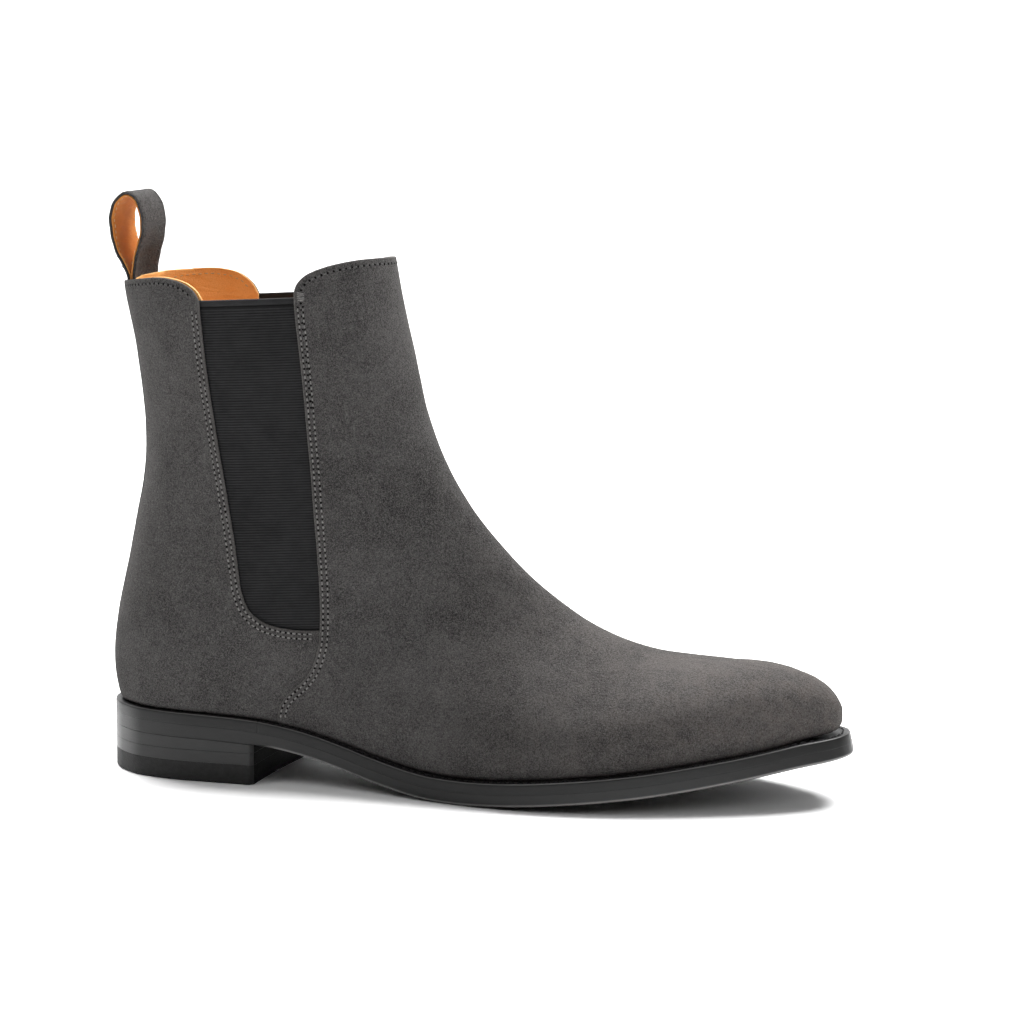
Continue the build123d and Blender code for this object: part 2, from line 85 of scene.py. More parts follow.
LAT_X = [0, 1.2, 4, 10, 22, 42, 65, 90, 120, 148, 170, 187, 204, 222, 242, 262, 277, 289, 296.5, 299.6, 300.]
LAT_Y = [0, 6.5, 13, 21, 29.5, 34, 34.8, 35.2, 38, 44.5, 49.3, 51.2, 50.6, 47.4, 41.2, 32.8, 25.2, 17.2, 9.6, 3.0, 0.]
MED_X = [0, 1.2, 4, 10, 22, 42, 65, 90, 118, 145, 165, 185, 203, 220, 238, 256, 272, 285, 294, 299, 300.]
MED_Y = [0, 6.5, 13, 21, 29.5, 33.5, 33.0, 29.5, 27.0, 32, 39.5, 46.5, 50, 50.3, 47.6, 41.8, 34.2, 26, 17.5, 7.5, 0.]
UND_X = [0, 30, 60, 72, 84, 96, 108, 120, 132, 144, 156, 168, 180, 192, 204, 216, 228, 240, 252, 264, 276, 288, 300]
UND_Z = [17.6, 17.2, 16.4, 15.6, 13.9, 11.4, 8.2, 4.7, 2.0, .35, 0., .4, 1.2, 2.2, 3.4, 4.7, 6.2, 8.0, 10.1, 12.4, 14.9, 17.5, 20.3]
EDGE_T = 9.7
SEC = np.array([
    (5.2, 222, 114.5, 222, 0, 34.5, 34.0, .52, .00, .06), (6.0, 206, 117.2, 206, 0, 34.2, 33.8, .52, .00, .06),
    (6.9, 190, 120.3, 188, 0, 33.8, 33.5, .52, .00, .06), (10.2, 174, 124.2, 172, 0, 33.2, 33.0, .51, .00, .06),
    (12.9, 158, 127.6, 156.5, 0, 32.4, 32.3, .50, .00, .07), (14.6, 142, 131.0, 142, 0, 31.6, 31.6, .49, .00, .08),
    (14.9, 127, 136.0, 129, 0, 31.2, 31.3, .47, -.02, .10), (13.2, 112, 140.8, 119.5, 0, 31.2, 31.3, .45, -.04, .12),
    (10.3, 98, 145.0, 112.5, 0, 31.7, 31.6, .42, -.08, .14), (7.2, 84, 149.3, 106.3, 0, 32.5, 32.3, .38, -.12, .16),
    (4.2, 70, 153.6, 101.0, 0, 33.4, 33.0, .34, -.16, .18), (1.9, 56, 158.0, 95.9, 0, 34.3, 33.6, .31, -.18, .20),
    (1.0, 43, 162.5, 91.2, 0, 34.9, 34.0, .29, -.20, .21), (2.6, 30, 167.0, 86.7, 0, 35.2, 34.2, .28, -.22, .22),
    (7.5, 19, 171.5, 82.3, .5, 35.4, 34.2, .28, -.24, .23), (18.0, 12, 176.5, 78.0, 1, 35.6, 34.2, .28, -.26, .23),
    (33.0, 9, 181.7, 73.8, 1.5, 36.5, 34.2, .29, -.28, .23), (52.0, 7, 187.5, 69.6, 2, 38.0, 34.6, .30, -.30, .22),
    (74.0, 4, 194.2, 65.3, 2.5, 40.5, 35.6, .32, -.32, .21), (98.0, 0, 201.6, 61.3, 3, 43.6, 37.8, .34, -.34, .19),
    (122., -5, 209.6, 57.9, 3.5, 46.8, 40.8, .36, -.36, .16), (146., -8, 218.3, 55.2, 4, 48.8, 43.4, .38, -.38, .13),
    (170., -8, 227.5, 53.5, 4, 49.2, 45.6, .40, -.39, .10), (194., -6, 237.2, 52.7, 3.5, 47.2, 46.8, .42, -.40, .07),
    (217., -3, 247.5, 52.3, 2.5, 42.6, 45.2, .43, -.40, .04), (238., 0, 258.5, 51.6, 1.5, 36.6, 41.4, .44, -.40, .01),
    (256., 4, 269.5, 49.6, .8, 30.0, 35.6, .45, -.40, -.02), (270., 8, 279.2, 46.0, .3, 23.8, 29.2, .46, -.38, -.04),
    (280., 12, 286.6, 41.8, 0, 18.0, 22.6, .48, -.34, -.05), (287., 16, 291.2, 37.6, 0, 12.4, 15.6, .50, -.28, -.04),
    (291., 20, 293.8, 33.9, 0, 6.6, 8.4, .50, -.16, -.02)])
WST_X = [0, 4, 8, 14, 22, 34, 50, 68, 86, 104, 122, 140, 158, 176, 194, 212, 230, 246, 260, 272, 281, 287, 291, 294]
WST_L = [.95, .94, .928, .912, .936, .937, .921, .893, .853, .818, .811, .845, .891, .932, .951, .962, .962, .947, .926, .897, .863, .832, .889, .889]
WST_M = [.96, .95, .949, .937, .964, .962, .928, .888, .786, .696, .634, .67, .763, .877, .955, .974, .99, .978, .962, .94, .93, .956, 1., 1.]
_mid = (SEC[:, :2] + SEC[:, 2:4]) / 2
_dv = (np.hypot(*np.diff(_mid, axis=0).T) + .5 * np.hypot(*np.diff(SEC[:, :2], axis=0).T)
       + .5 * np.hypot(*np.diff(SEC[:, 2:4], axis=0).T))
V = np.concatenate([[0], np.cumsum(_dv)]); V /= V[-1]


def lat(x): return pchip(LAT_X, LAT_Y, x)
def med(x): return pchip(MED_X, MED_Y, x)
def under(x): return cubic(UND_X, UND_Z, x)
def feather0(x): return under(x) + EDGE_T


def drop_bottom(x): return 1.3 * sstep(280, 302, x)


def drop_top(x): return .6 * sstep(118, 180, x) + .6 * sstep(240, 275, x) + 1.6 * sstep(283, 302, x)


def feather(x):
    """The welt's top line."""
    return under(x) + EDGE_T - drop_top(x)


def sole_warp(V_):
    """The sole thins towards the toe, and its edge stands square to the upturned sole there."""
    V_ = V_.copy(); x = np.clip(V_[:, 0], 0, 300); u = under(x); h = V_[:, 2] - u
    lo = u - drop_bottom(x); t = (feather(x) - lo) / EDGE_T
    V_[:, 2] = lo + h * t
    V_[:, 0] -= .23 * h * t * sstep(225, 292, x)
    return V_


def boot(v, th):
    P = [cubic(V, SEC[:, i], v) for i in range(10)]
    Bx, Bz, Tx, Tz, yr, Wl, Wm, sw, cB, cT = P
    L = np.hypot(Tx - Bx, Tz - Bz); ux = (Tx - Bx) / L; uz = (Tz - Bz) / L
    c = np.cos(th); s = np.sin(th); u = np.abs(c)
    W = np.where(s >= 0, Wm - yr, Wl + yr)
    d = sw * L + np.where(c >= 0, (1 - sw) * L * u, -sw * L * u)
    w = W * np.abs(s) * (1 - np.where(c >= 0, cT, cB) * u * u)
    x = Bx + ux * d; z = Bz + uz * d; y = yr + np.sign(s) * w
    h = 1 - np.clip((z - feather0(x)) / 34., 0, 1); h = h * h * (3 - 2 * h)
    r = np.where(y < 0, pchip(WST_X, WST_L, x), pchip(WST_X, WST_M, x))
    return np.stack([x, y * (1 - h * (1 - r)), z], -1)


def smooth_v(A, n):
    """Light smoothing along the boot, which takes out the steps between girth sections."""
    for _ in range(n):
        B = A.copy()
        B[1:-1] = .25 * A[:-2] + .5 * A[1:-1] + .25 * A[2:]
        A = B
    return A


class Skin:
    """A dense grid on the upper's outer surface: rows along the boot, columns round the section (closed)."""
    def __init__(self, nv, nt, soften):
        v = np.linspace(0, 1, nv); th = 2 * np.pi * np.arange(nt) / nt
        P = smooth_v(boot(v[:, None], th[None, :] + 0 * v[:, None]), soften)
        # rounded closing of the toe
        last = P[-1]; c = last.mean(0)
        f = np.array([.98, 0, -.197]); f /= np.linalg.norm(f)
        p0 = math.radians(60.7); rows = []
        nc = max(6, nv // 40)
        for k in range(1, nc + 1):
            ph = p0 + (math.pi / 2 - p0) * k / nc
            rows.append(c + (last - c) * max(math.cos(ph) / math.cos(p0), 1e-3) + f * 10.2 * (math.sin(ph) - math.sin(p0)))
        self.P = np.concatenate([P, np.array(rows)])
        # the toe is blunter and fuller than the girth sections alone make it
        x, z = self.P[..., 0], self.P[..., 2]; zf = feather0(np.clip(x, 0, 300)) - 1
        k = np.interp(x, [253, 262, 270, 278, 286, 290, 293.5, 296], [0, .03, .068, .128, .245, .34, .50, .58])
        self.P[..., 2] = np.where(z > zf, zf + (z - zf) * (1 + k), z)
        self.P[..., 0] = x + .95 * sstep(284, 294, x)
        du = np.gradient(self.P, axis=0); E = np.concatenate([self.P[:, -1:], self.P, self.P[:, :1]], 1)
        dt = (E[:, 2:] - E[:, :-2]) / 2
        N = np.cross(dt, du); ln = np.linalg.norm(N, axis=-1, keepdims=True)
        N = N / np.maximum(ln, 1e-9)
        c = self.P.mean(1, keepdims=True)
        if ((self.P - c) * N).sum(-1).mean() < 0:
            N = -N
        N[-1] = f; self.N = N
        self.nt = nt; self.nv = self.P.shape[0]


# ------------------------------------------------------------------ seams, side view
FRONT_LOW = [(79.5, -20), (80.6, 8), (81.2, 22), (80.9, 27.3), (81.6, 30.8), (83.9, 34.6), (87.3, 37.9), (91.2, 41.3),
             (94.1, 45.1), (96.2, 49.6), (97.6, 55.1), (98.0, 61.1)]
FRONT_UP = [(98.0, 61.1), (97.9, 67.5), (97.3, 79.8), (96.2, 93.9), (94.9, 108.6), (94.0, 121.3), (92.9, 134.3),
            (92.0, 146.7), (91.0, 159.0), (89.8, 171.3), (88.7, 181.8), (88.2, 190.1)]
REAR = [(98.0, 61.1), (90.4, 60.8), (82.3, 61.5), (75.0, 63.6), (69.4, 67.8), (66.2, 74.4), (64.5, 82.9), (62.6, 95.0),
        (60.2, 106.8), (57.5, 120.2), (55.0, 133.3), (53.1, 144.9), (51.6, 156.5), (50.5, 167.0), (49.8, 175.9),
        (49.3, 182.7), (49.0, 187.0)]
TOP_REAR = [(49.0, 187.0), (46.4, 190.9), (42.2, 193.4), (34.7, 195.2), (18.4, 194.5), (9.6, 193.5), (-20, 192.6)]
TOP_FRONT = [(88.2, 190.1), (88.9, 193.4), (91.4, 196.6), (97.0, 199.6), (104.6, 201.9), (111.5, 203.1), (119.5, 203.6), (150, 204.2)]


def dense(pts, step=.6):
    """A smooth curve through side-view points, resampled evenly."""
    p = np.array(pts, float); t = np.concatenate([[0], np.cumsum(np.hypot(*np.diff(p, axis=0).T))])
    n = max(2, int(t[-1] / step)); q = np.linspace(0, t[-1], n + 1)
    return np.stack([cubic(t, p[:, 0], q), cubic(t, p[:, 1], q)], 1)


TOP_REAR_M = [(49.0, 187.0), (46.2, 191.6), (41.6, 195.0), (34.0, 197.0), (26.0, 197.1), (18.0, 196.1), (11.0, 194.4), (7.0, 193.5), (-20, 192.6)]
D_LOW, D_UP, D_REAR, D_TR, D_TF = map(dense, (FRONT_LOW, FRONT_UP, REAR, TOP_REAR, TOP_FRONT))
D_TRM = dense(TOP_REAR_M)
FRONT_POLY = np.concatenate([D_LOW, D_UP[1:], D_TF[1:], [(340, 204.2), (340, -30), (79.5, -30)]])
REAR_POLY = np.concatenate([D_LOW, D_REAR[1:], D_TR[1:], [(-40, 192.6), (-40, -30), (79.5, -30)]])
REAR_POLY_M = np.concatenate([D_LOW, D_REAR[1:], D_TRM[1:], [(-40, 192.6), (-40, -30), (79.5, -30)]])
# the elastic reaches under the suede on three sides; its top edge is its own
A = 7.0
GORE_POLY = np.concatenate([dense([(40.6, 186.6), (49.0, 187.1), (62.0, 187.9), (75.0, 188.4), (88.2, 188.9), (95.2, 189.1)]),
                            dense([(95.2, 189.1), (97.6, 171), (100.6, 134), (104.6, 80), (105.0, 62)]),
                            dense([(105.0, 62), (104.0, 54.2), (90, 53.4), (79, 54.6), (69.0, 58.6), (61.6, 66.6), (58.0, 80.0), (55.8, 94.0),
                                   (53.4, 106.0), (50.6, 119.4), (48.0, 132.6), (46.1, 144.2), (44.6, 156.0), (43.2, 169.0), (40.6, 186.6)])])


def polydist(P, poly, cap=14.0):
    """Signed distance in the side view, positive inside; exact within cap of the edge."""
    x = P[..., 0].ravel(); z = P[..., 2].ravel()
    a = poly; b = np.roll(poly, -1, 0)
    ins = np.zeros(x.shape, bool)
    for (x0, z0), (x1, z1) in zip(a, b):
        if z0 != z1:
            m = (z0 > z) != (z1 > z)
            if m.any():
                ins[m] ^= x[m] < (x1 - x0) * (z[m] - z0) / (z1 - z0) + x0
    D = np.full(x.shape, cap ** 2)
    for (x0, z0), (x1, z1) in zip(a, b):
        lx, lz = x1 - x0, z1 - z0; ll = lx * lx + lz * lz
        if ll < 1e-12:
            continue
        m = (x > min(x0, x1) - cap) & (x < max(x0, x1) + cap) & (z > min(z0, z1) - cap) & (z < max(z0, z1) + cap)
        if not m.any():
            continue
        t = np.clip(((x[m] - x0) * lx + (z[m] - z0) * lz) / ll, 0, 1)
        D[m] = np.minimum(D[m], (x[m] - x0 - t * lx) ** 2 + (z[m] - z0 - t * lz) ** 2)
    D = np.sqrt(D)
    return np.where(ins, D, -D).reshape(P.shape[:-1])


def clip_grid(S, F, cols=None):
    """Polygons of the grid where F > 0. Returns grid coordinates of the vertices (row, column, floats) and the faces."""
    nv, nt = S.nv, S.nt
    F = F.copy(); F[np.abs(F) < .06] = .06
    idx = {}; verts = []; faces = []

    def node(i, j):
        k = (i, j % nt) if cols is None else (i, j)
        if k not in idx:
            idx[k] = len(verts); verts.append((i, j))
        return idx[k]

    def cross(i0, j0, i1, j1):
        if (i1, j1) < (i0, j0):
            i0, j0, i1, j1 = i1, j1, i0, j0
        k = (i0, j0 % nt if cols is None else j0, i1, j1 % nt if cols is None else j1)
        if k not in idx:
            f0 = F[i0, j0 % nt]; f1 = F[i1, j1 % nt]; t = f0 / (f0 - f1)
            idx[k] = len(verts); verts.append((i0 + (i1 - i0) * t, j0 + (j1 - j0) * t))
        return idx[k]
    J = range(nt) if cols is None else range(cols[0], cols[1])
    Fp = F[:, [j % nt for j in range(J[0], J[-1] + 2)]]
    pos = Fp > 0
    full = pos[:-1, :-1] & pos[1:, :-1] & pos[1:, 1:] & pos[:-1, 1:]
    some = pos[:-1, :-1] | pos[1:, :-1] | pos[1:, 1:] | pos[:-1, 1:]
    for i, jj in zip(*np.where(some)):
        j = J[0] + int(jj); i = int(i)
        q = [(i, j), (i + 1, j), (i + 1, j + 1), (i, j + 1)]
        if full[i, jj]:
            faces.append([node(*c) for c in q]); continue
        out = []
        for a in range(4):
            c0, c1 = q[a], q[(a + 1) % 4]
            s0 = F[c0[0], c0[1] % nt] > 0; s1 = F[c1[0], c1[1] % nt] > 0
            if s0:
                out.append(node(*c0))
            if s0 != s1:
                out.append(cross(*c0, *c1))
        out = [v for k, v in enumerate(out) if v != out[k - 1]]
        if len(out) >= 3:
            faces.append(out)
    return np.array(verts, float), faces


def at(S, A, uv):
    """Bilinear value of a grid array at (row, column)."""
    i = np.clip(np.floor(uv[:, 0]).astype(int), 0, S.nv - 2); fi = (uv[:, 0] - i)
    jf = np.floor(uv[:, 1]).astype(int); fj = uv[:, 1] - jf; j0 = jf % S.nt; j1 = (jf + 1) % S.nt
    sh = (-1,) + (1,) * (A.ndim - 2)
    fi = fi.reshape(sh); fj = fj.reshape(sh)
    return (A[i, j0] * (1 - fi) * (1 - fj) + A[i + 1, j0] * fi * (1 - fj) + A[i, j1] * (1 - fi) * fj + A[i + 1, j1] * fi * fj)


# ------------------------------------------------------------------ objects
def mesh_obj(name, verts, faces, smooth=True):
    me = bpy.data.meshes.new(name)
    v = np.asarray(verts, float).copy(); v[:, 0] -= OX; v *= MM
    me.from_pydata(v.tolist(), [], [list(map(int, f)) for f in faces])
    me.update()
    if smooth:
        me.polygons.foreach_set("use_smooth", [True] * len(me.polygons))
    ob = bpy.data.objects.new(name, me); bpy.context.scene.collection.objects.link(ob)
    return ob


def orient(ob):
    import bmesh
    bm = bmesh.new(); bm.from_mesh(ob.data)
    bmesh.ops.recalc_face_normals(bm, faces=bm.faces)
    bm.to_mesh(ob.data); bm.free()
    return ob


def thick_shell(name, top, nrm, faces, thick, rim=(), slack=None):
    """Closed solid from an open skin: top surface, a copy moved inwards, and a rim that follows rim=[(out, down)...]."""
    n = len(top); cnt = {}
    for f in faces:
        for a, b in zip(f, f[1:] + f[:1]):
            k = (a, b) if a < b else (b, a)
            cnt[k] = cnt.get(k, 0) + 1 if k in cnt else 1
    bd = []
    for f in faces:
        for a, b in zip(f, f[1:] + f[:1]):
            if cnt[(a, b) if a < b else (b, a)] == 1:
                bd.append((a, b))
    bv = sorted({a for e in bd for a in e}); m = {v: i for i, v in enumerate(bv)}
    # direction out of the panel, in the surface
    fc = {}
    out = np.zeros((len(bv), 3))
    cen = {}
    for f in faces:
        for a, b in zip(f, f[1:] + f[:1]):
            if cnt[(a, b) if a < b else (b, a)] == 1:
                c = top[f].mean(0)
                e = top[b] - top[a]; nn = nrm[a] + nrm[b]
                o = np.cross(e, nn)
                if np.dot(o, (top[a] + top[b]) / 2 - c) < 0:
                    o = -o
                out[m[a]] += o; out[m[b]] += o
    out /= np.maximum(np.linalg.norm(out, axis=1, keepdims=True), 1e-9)
    # even out the direction along the edge
    nb = [[] for _ in bv]
    for a, b in bd:
        nb[m[a]].append(m[b]); nb[m[b]].append(m[a])
    for _ in range(3):
        o2 = out.copy()
        for i, l in enumerate(nb):
            for j in l:
                o2[i] += .5 * out[j]
        out = o2 / np.maximum(np.linalg.norm(o2, axis=1, keepdims=True), 1e-9)
    th = thick if np.ndim(thick) else np.full(n, thick)
    bot = top - nrm * th[:, None]
    V_ = [top]; base = n
    rings = []
    tb = top[bv]; nbv = nrm[bv]; thb = th[bv][:, None]
    for o, d in rim:
        V_.append(tb + out * o - nbv * (d * thb)); rings.append(base); base += len(bv)
    V_.append(bot); bb = base
    F = [list(f) for f in faces] + [[bb + i for i in reversed(f)] for f in faces]
    for a, b in bd:
        ia, ib = m[a], m[b]
        chain = [(a, b)] + [(r + ia, r + ib) for r in rings] + [(bb + a, bb + b)]
        for (p, q), (s, t) in zip(chain, chain[1:]):
            F.append([q, p, s, t])
    V_ = np.concatenate(V_); ob = mesh_obj(name, V_, F)
    rimv = np.zeros(len(V_)); rimv[bv] = .55; rimv[n:bb] = 1.0; rimv[bb + np.array(bv)] = 1.0
    near = set(bv)
    ring1 = sorted({v for f in faces if any(q in near for q in f) for v in f} - near)
    rimv[ring1] = .12
    ob.data.attributes.new("rim", "FLOAT", "POINT").data.foreach_set("value", rimv.astype(np.float32))
    return ob


SUEDE_RIM = [(.22, .10), (.36, .30), (.40, .55), (.34, .82), (.18, .97)]
THIN_RIM = [(.12, .12), (.2, .5), (.12, .88)]


def sew_field(d, w=3.0):
    return 1 - sstep(0, w, d)


NVS, NTS = ((430, 300))
S = Skin(NVS, NTS, 26)
P, N = S.P, S.N
HALF = S.nt // 2
F_FEATHER = P[..., 2] - (feather(np.clip(P[..., 0], 0, 300)) - .9)
D_FRONT = polydist(P, FRONT_POLY)
MEDIAL = np.arange(S.nt)[None, :] < HALF
D_REARP = np.where(MEDIAL, polydist(P, REAR_POLY_M), polydist(P, REAR_POLY))
D_GORE = polydist(P, GORE_POLY)
H_F = P[..., 2] - feather(np.clip(P[..., 0], 0, 300))      # height above the welt


def curve_field(P, curve, cap=14.0):
    """Unsigned side-view distance to an open curve."""
    x = P[..., 0].ravel(); z = P[..., 2].ravel(); D = np.full(x.shape, cap ** 2)
    for (x0, z0), (x1, z1) in zip(curve[:-1], curve[1:]):
        lx, lz = x1 - x0, z1 - z0; ll = lx * lx + lz * lz
        m = (x > min(x0, x1) - cap) & (x < max(x0, x1) + cap) & (z > min(z0, z1) - cap) & (z < max(z0, z1) + cap)
        if m.any() and ll > 0:
            t = np.clip(((x[m] - x0) * lx + (z[m] - z0) * lz) / ll, 0, 1)
            D[m] = np.minimum(D[m], (x[m] - x0 - t * lx) ** 2 + (z[m] - z0 - t * lz) ** 2)
    return np.sqrt(D).reshape(P.shape[:-1])


SEAM_LOW_D = curve_field(P, D_LOW)          # vamp over quarter, below the elastic
SEAM_UP_D = curve_field(P, np.concatenate([D_UP]))
SEAM_RE_D = curve_field(P, D_REAR)

# slow waves in the leather, so that it does not look turned on a lathe
def waves(P):
    x, y, z = P[..., 0], P[..., 1], P[..., 2]
    w = (.16 * np.sin(x / 13.0 + z / 17.0 + 1.3) * np.sin(z / 15.0 - y / 21.0 + .4)
         + .10 * np.sin(x / 7.3 - z / 8.1 + y / 9.0) * np.sin(z / 9.7 + x / 12.1 + 2.0)
         + .05 * np.sin(x / 3.9 + z / 4.4) * np.sin(z / 4.7 - x / 5.3 + y / 6.0 + 1.1))
    return w * sstep(0, 16, P[..., 2] - feather(np.clip(x, 0, 300)))


WV = waves(P)
TR = 2.2 + 3.0 * sstep(268, 292, P[..., 0])
turn_in = TR * .9 * (1 - np.sqrt(np.clip(1 - (1 - np.clip(H_F / TR, 0, 1)) ** 2, 0, 1)))   # the upper turns under at the welt


def panel(name, F, offset, thick, rim, cols=None):
    uv, faces = clip_grid(S, F, cols)
    p = at(S, P, uv); n = at(S, N, uv); n /= np.linalg.norm(n, axis=1, keepdims=True)
    off = at(S, offset, uv)
    top = p - n * off[:, None]
    return thick_shell(name, top, n, faces, thick, rim), top


# ---- vamp: one skin from the toe to the front of the shaft, its rear edge lying on the quarters
over = .55 * sew_field(SEAM_LOW_D, 9)
vamp_off = -over * (P[..., 2] < 75) - WV + turn_in - .1
vamp, _ = panel("vamp_suede", np.minimum(D_FRONT, F_FEATHER), vamp_off, 1.25, SUEDE_RIM)
# ---- quarters: heel sides and the back of the shaft, each one skin, running on under the vamp
LOWQ = [polydist(P, np.concatenate([D_LOW + [5, 0], [(103.0, 58.6)], D_REAR[1:], tr[1:], [(-40, 192.6), (-40, -30), (79.5, -30)]])) for tr in (D_TR, D_TRM)]
LOWQ = np.where(MEDIAL, LOWQ[1], LOWQ[0])
F_Q = np.minimum(LOWQ, F_FEATHER)
q_off = .62 * sstep(-2.4, 1.2, np.where(D_FRONT > 0, SEAM_LOW_D, -SEAM_LOW_D)) * (P[..., 2] < 66) - WV + turn_in - .1
quarter_l, _ = panel("quarter_lateral_suede", F_Q, q_off, 1.1, SUEDE_RIM, (HALF, S.nt))
quarter_m, _ = panel("quarter_medial_suede", F_Q, q_off, 1.1, SUEDE_RIM, (0, HALF))

# ---- linings
over_tabs = (1 - sstep(11.5, 15.5, np.abs(P[..., 1]))) * sstep(181, 188, P[..., 2]) * (P[..., 0] < 45)
lin_off = 2.5 - WV * .3 + 1.45 * over_tabs
F_L = P[..., 2] - (feather(np.clip(P[..., 0], 0, 300)) + 2.6)
FL_front = np.minimum(polydist(P, FRONT_POLY) , F_L)
vamp_lining, _ = panel("vamp_lining_leather", FL_front, lin_off, .9, THIN_RIM)
D_LIN = (D_REARP + .2 + 1.3 * sstep(-13, 6, P[..., 1]) * (1 - sstep(10, 24, P[..., 0])) * sstep(184, 190, P[..., 2]))
lin_l, _ = panel("quarter_lining_lateral_leather", np.minimum(D_LIN, F_L), lin_off, .9, THIN_RIM, (HALF, S.nt))
lin_m, _ = panel("quarter_lining_medial_leather", np.minimum(D_LIN, F_L), lin_off, .9, THIN_RIM, (0, HALF))

puff_x = (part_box("toe_puff")[0][0] / MM) + OX
toe_puff, _ = panel("toe_puff_board", np.minimum(P[..., 0] - puff_x, F_L), 1.35 + 0 * WV, .85, THIN_RIM)
# ---- backstay
BS_W = 5.5
F_BS = np.minimum(np.minimum(BS_W - np.abs(P[..., 1]), 45 - P[..., 0]), np.minimum(D_REARP, P[..., 2] - feather(np.clip(P[..., 0], 0, 300)) - .2))
backstay, _ = panel("backstay_suede", F_BS, -.62 - WV + turn_in * .9, .72, SUEDE_RIM)


# ------------------------------------------------------------------ elastic gores, with woven ribs
class Side:
    """y and normal of one side as a function of side-view x and z."""
    def __init__(self, cols):
        j = [c % S.nt for c in range(cols[0], cols[1] + 1)]
        self.p = P[:, j]; self.n = N[:, j]; self.x = self.p[..., 0]; self.z = self.p[..., 2]

    def __call__(self, X, Z):
        sh = X.shape; x = X.ravel(); z = Z.ravel()
        st = 3
        cx = self.x[::st, ::st]; cz = self.z[::st, ::st]; ny = cx.shape[1]
        k = np.empty(len(x), int)
        fx = cx.ravel(); fz = cz.ravel()
        for a in range(0, len(x), 2000):
            k[a:a + 2000] = ((x[a:a + 2000, None] - fx) ** 2 + (z[a:a + 2000, None] - fz) ** 2).argmin(1)
        i = (k // ny) * st * 1.0; j = (k % ny) * st * 1.0
        mi, mj = self.x.shape[0] - 1.001, self.x.shape[1] - 1.001
        for _ in range(12):
            i = np.clip(i, 0, mi); j = np.clip(j, 0, mj)
            i0 = i.astype(int); j0 = j.astype(int); fi = i - i0; fj = j - j0
            def bl(A):
                return (A[i0, j0] * (1 - fi) * (1 - fj) + A[i0 + 1, j0] * fi * (1 - fj) + A[i0, j0 + 1] * (1 - fi) * fj + A[i0 + 1, j0 + 1] * fi * fj)
            def di(A):
                return (A[i0 + 1, j0] - A[i0, j0]) * (1 - fj) + (A[i0 + 1, j0 + 1] - A[i0, j0 + 1]) * fj
            def dj(A):
                return (A[i0, j0 + 1] - A[i0, j0]) * (1 - fi) + (A[i0 + 1, j0 + 1] - A[i0 + 1, j0]) * fi
            ex = x - bl(self.x); ez = z - bl(self.z)
            a, b, c, d = di(self.x), dj(self.x), di(self.z), dj(self.z)
            det = a * d - b * c; det = np.where(np.abs(det) < 1e-6, 1e-6, det)
            i = i + np.clip((d * ex - b * ez) / det, -4, 4); j = j + np.clip((a * ez - c * ex) / det, -4, 4)
        i = np.clip(i, 0, mi); j = np.clip(j, 0, mj); i0 = i.astype(int); j0 = j.astype(int)
        fi = (i - i0)[:, None]; fj = (j - j0)[:, None]
        def b3(A):
            return (A[i0, j0] * (1 - fi) * (1 - fj) + A[i0 + 1, j0] * fi * (1 - fj) + A[i0, j0 + 1] * (1 - fi) * fj + A[i0 + 1, j0 + 1] * fi * fj)
        p = b3(self.p); n = b3(self.n); n /= np.linalg.norm(n, axis=1, keepdims=True)
        return p.reshape(sh + (3,)), n.reshape(sh + (3,))


SIDE = {-1: Side((HALF, S.nt)), 1: Side((0, HALF))}


def edge_x(curve, z):
    """x of a steep side-view curve at height z."""
    o = np.argsort(curve[:, 1]); return np.interp(z, curve[o, 1], curve[o, 0])


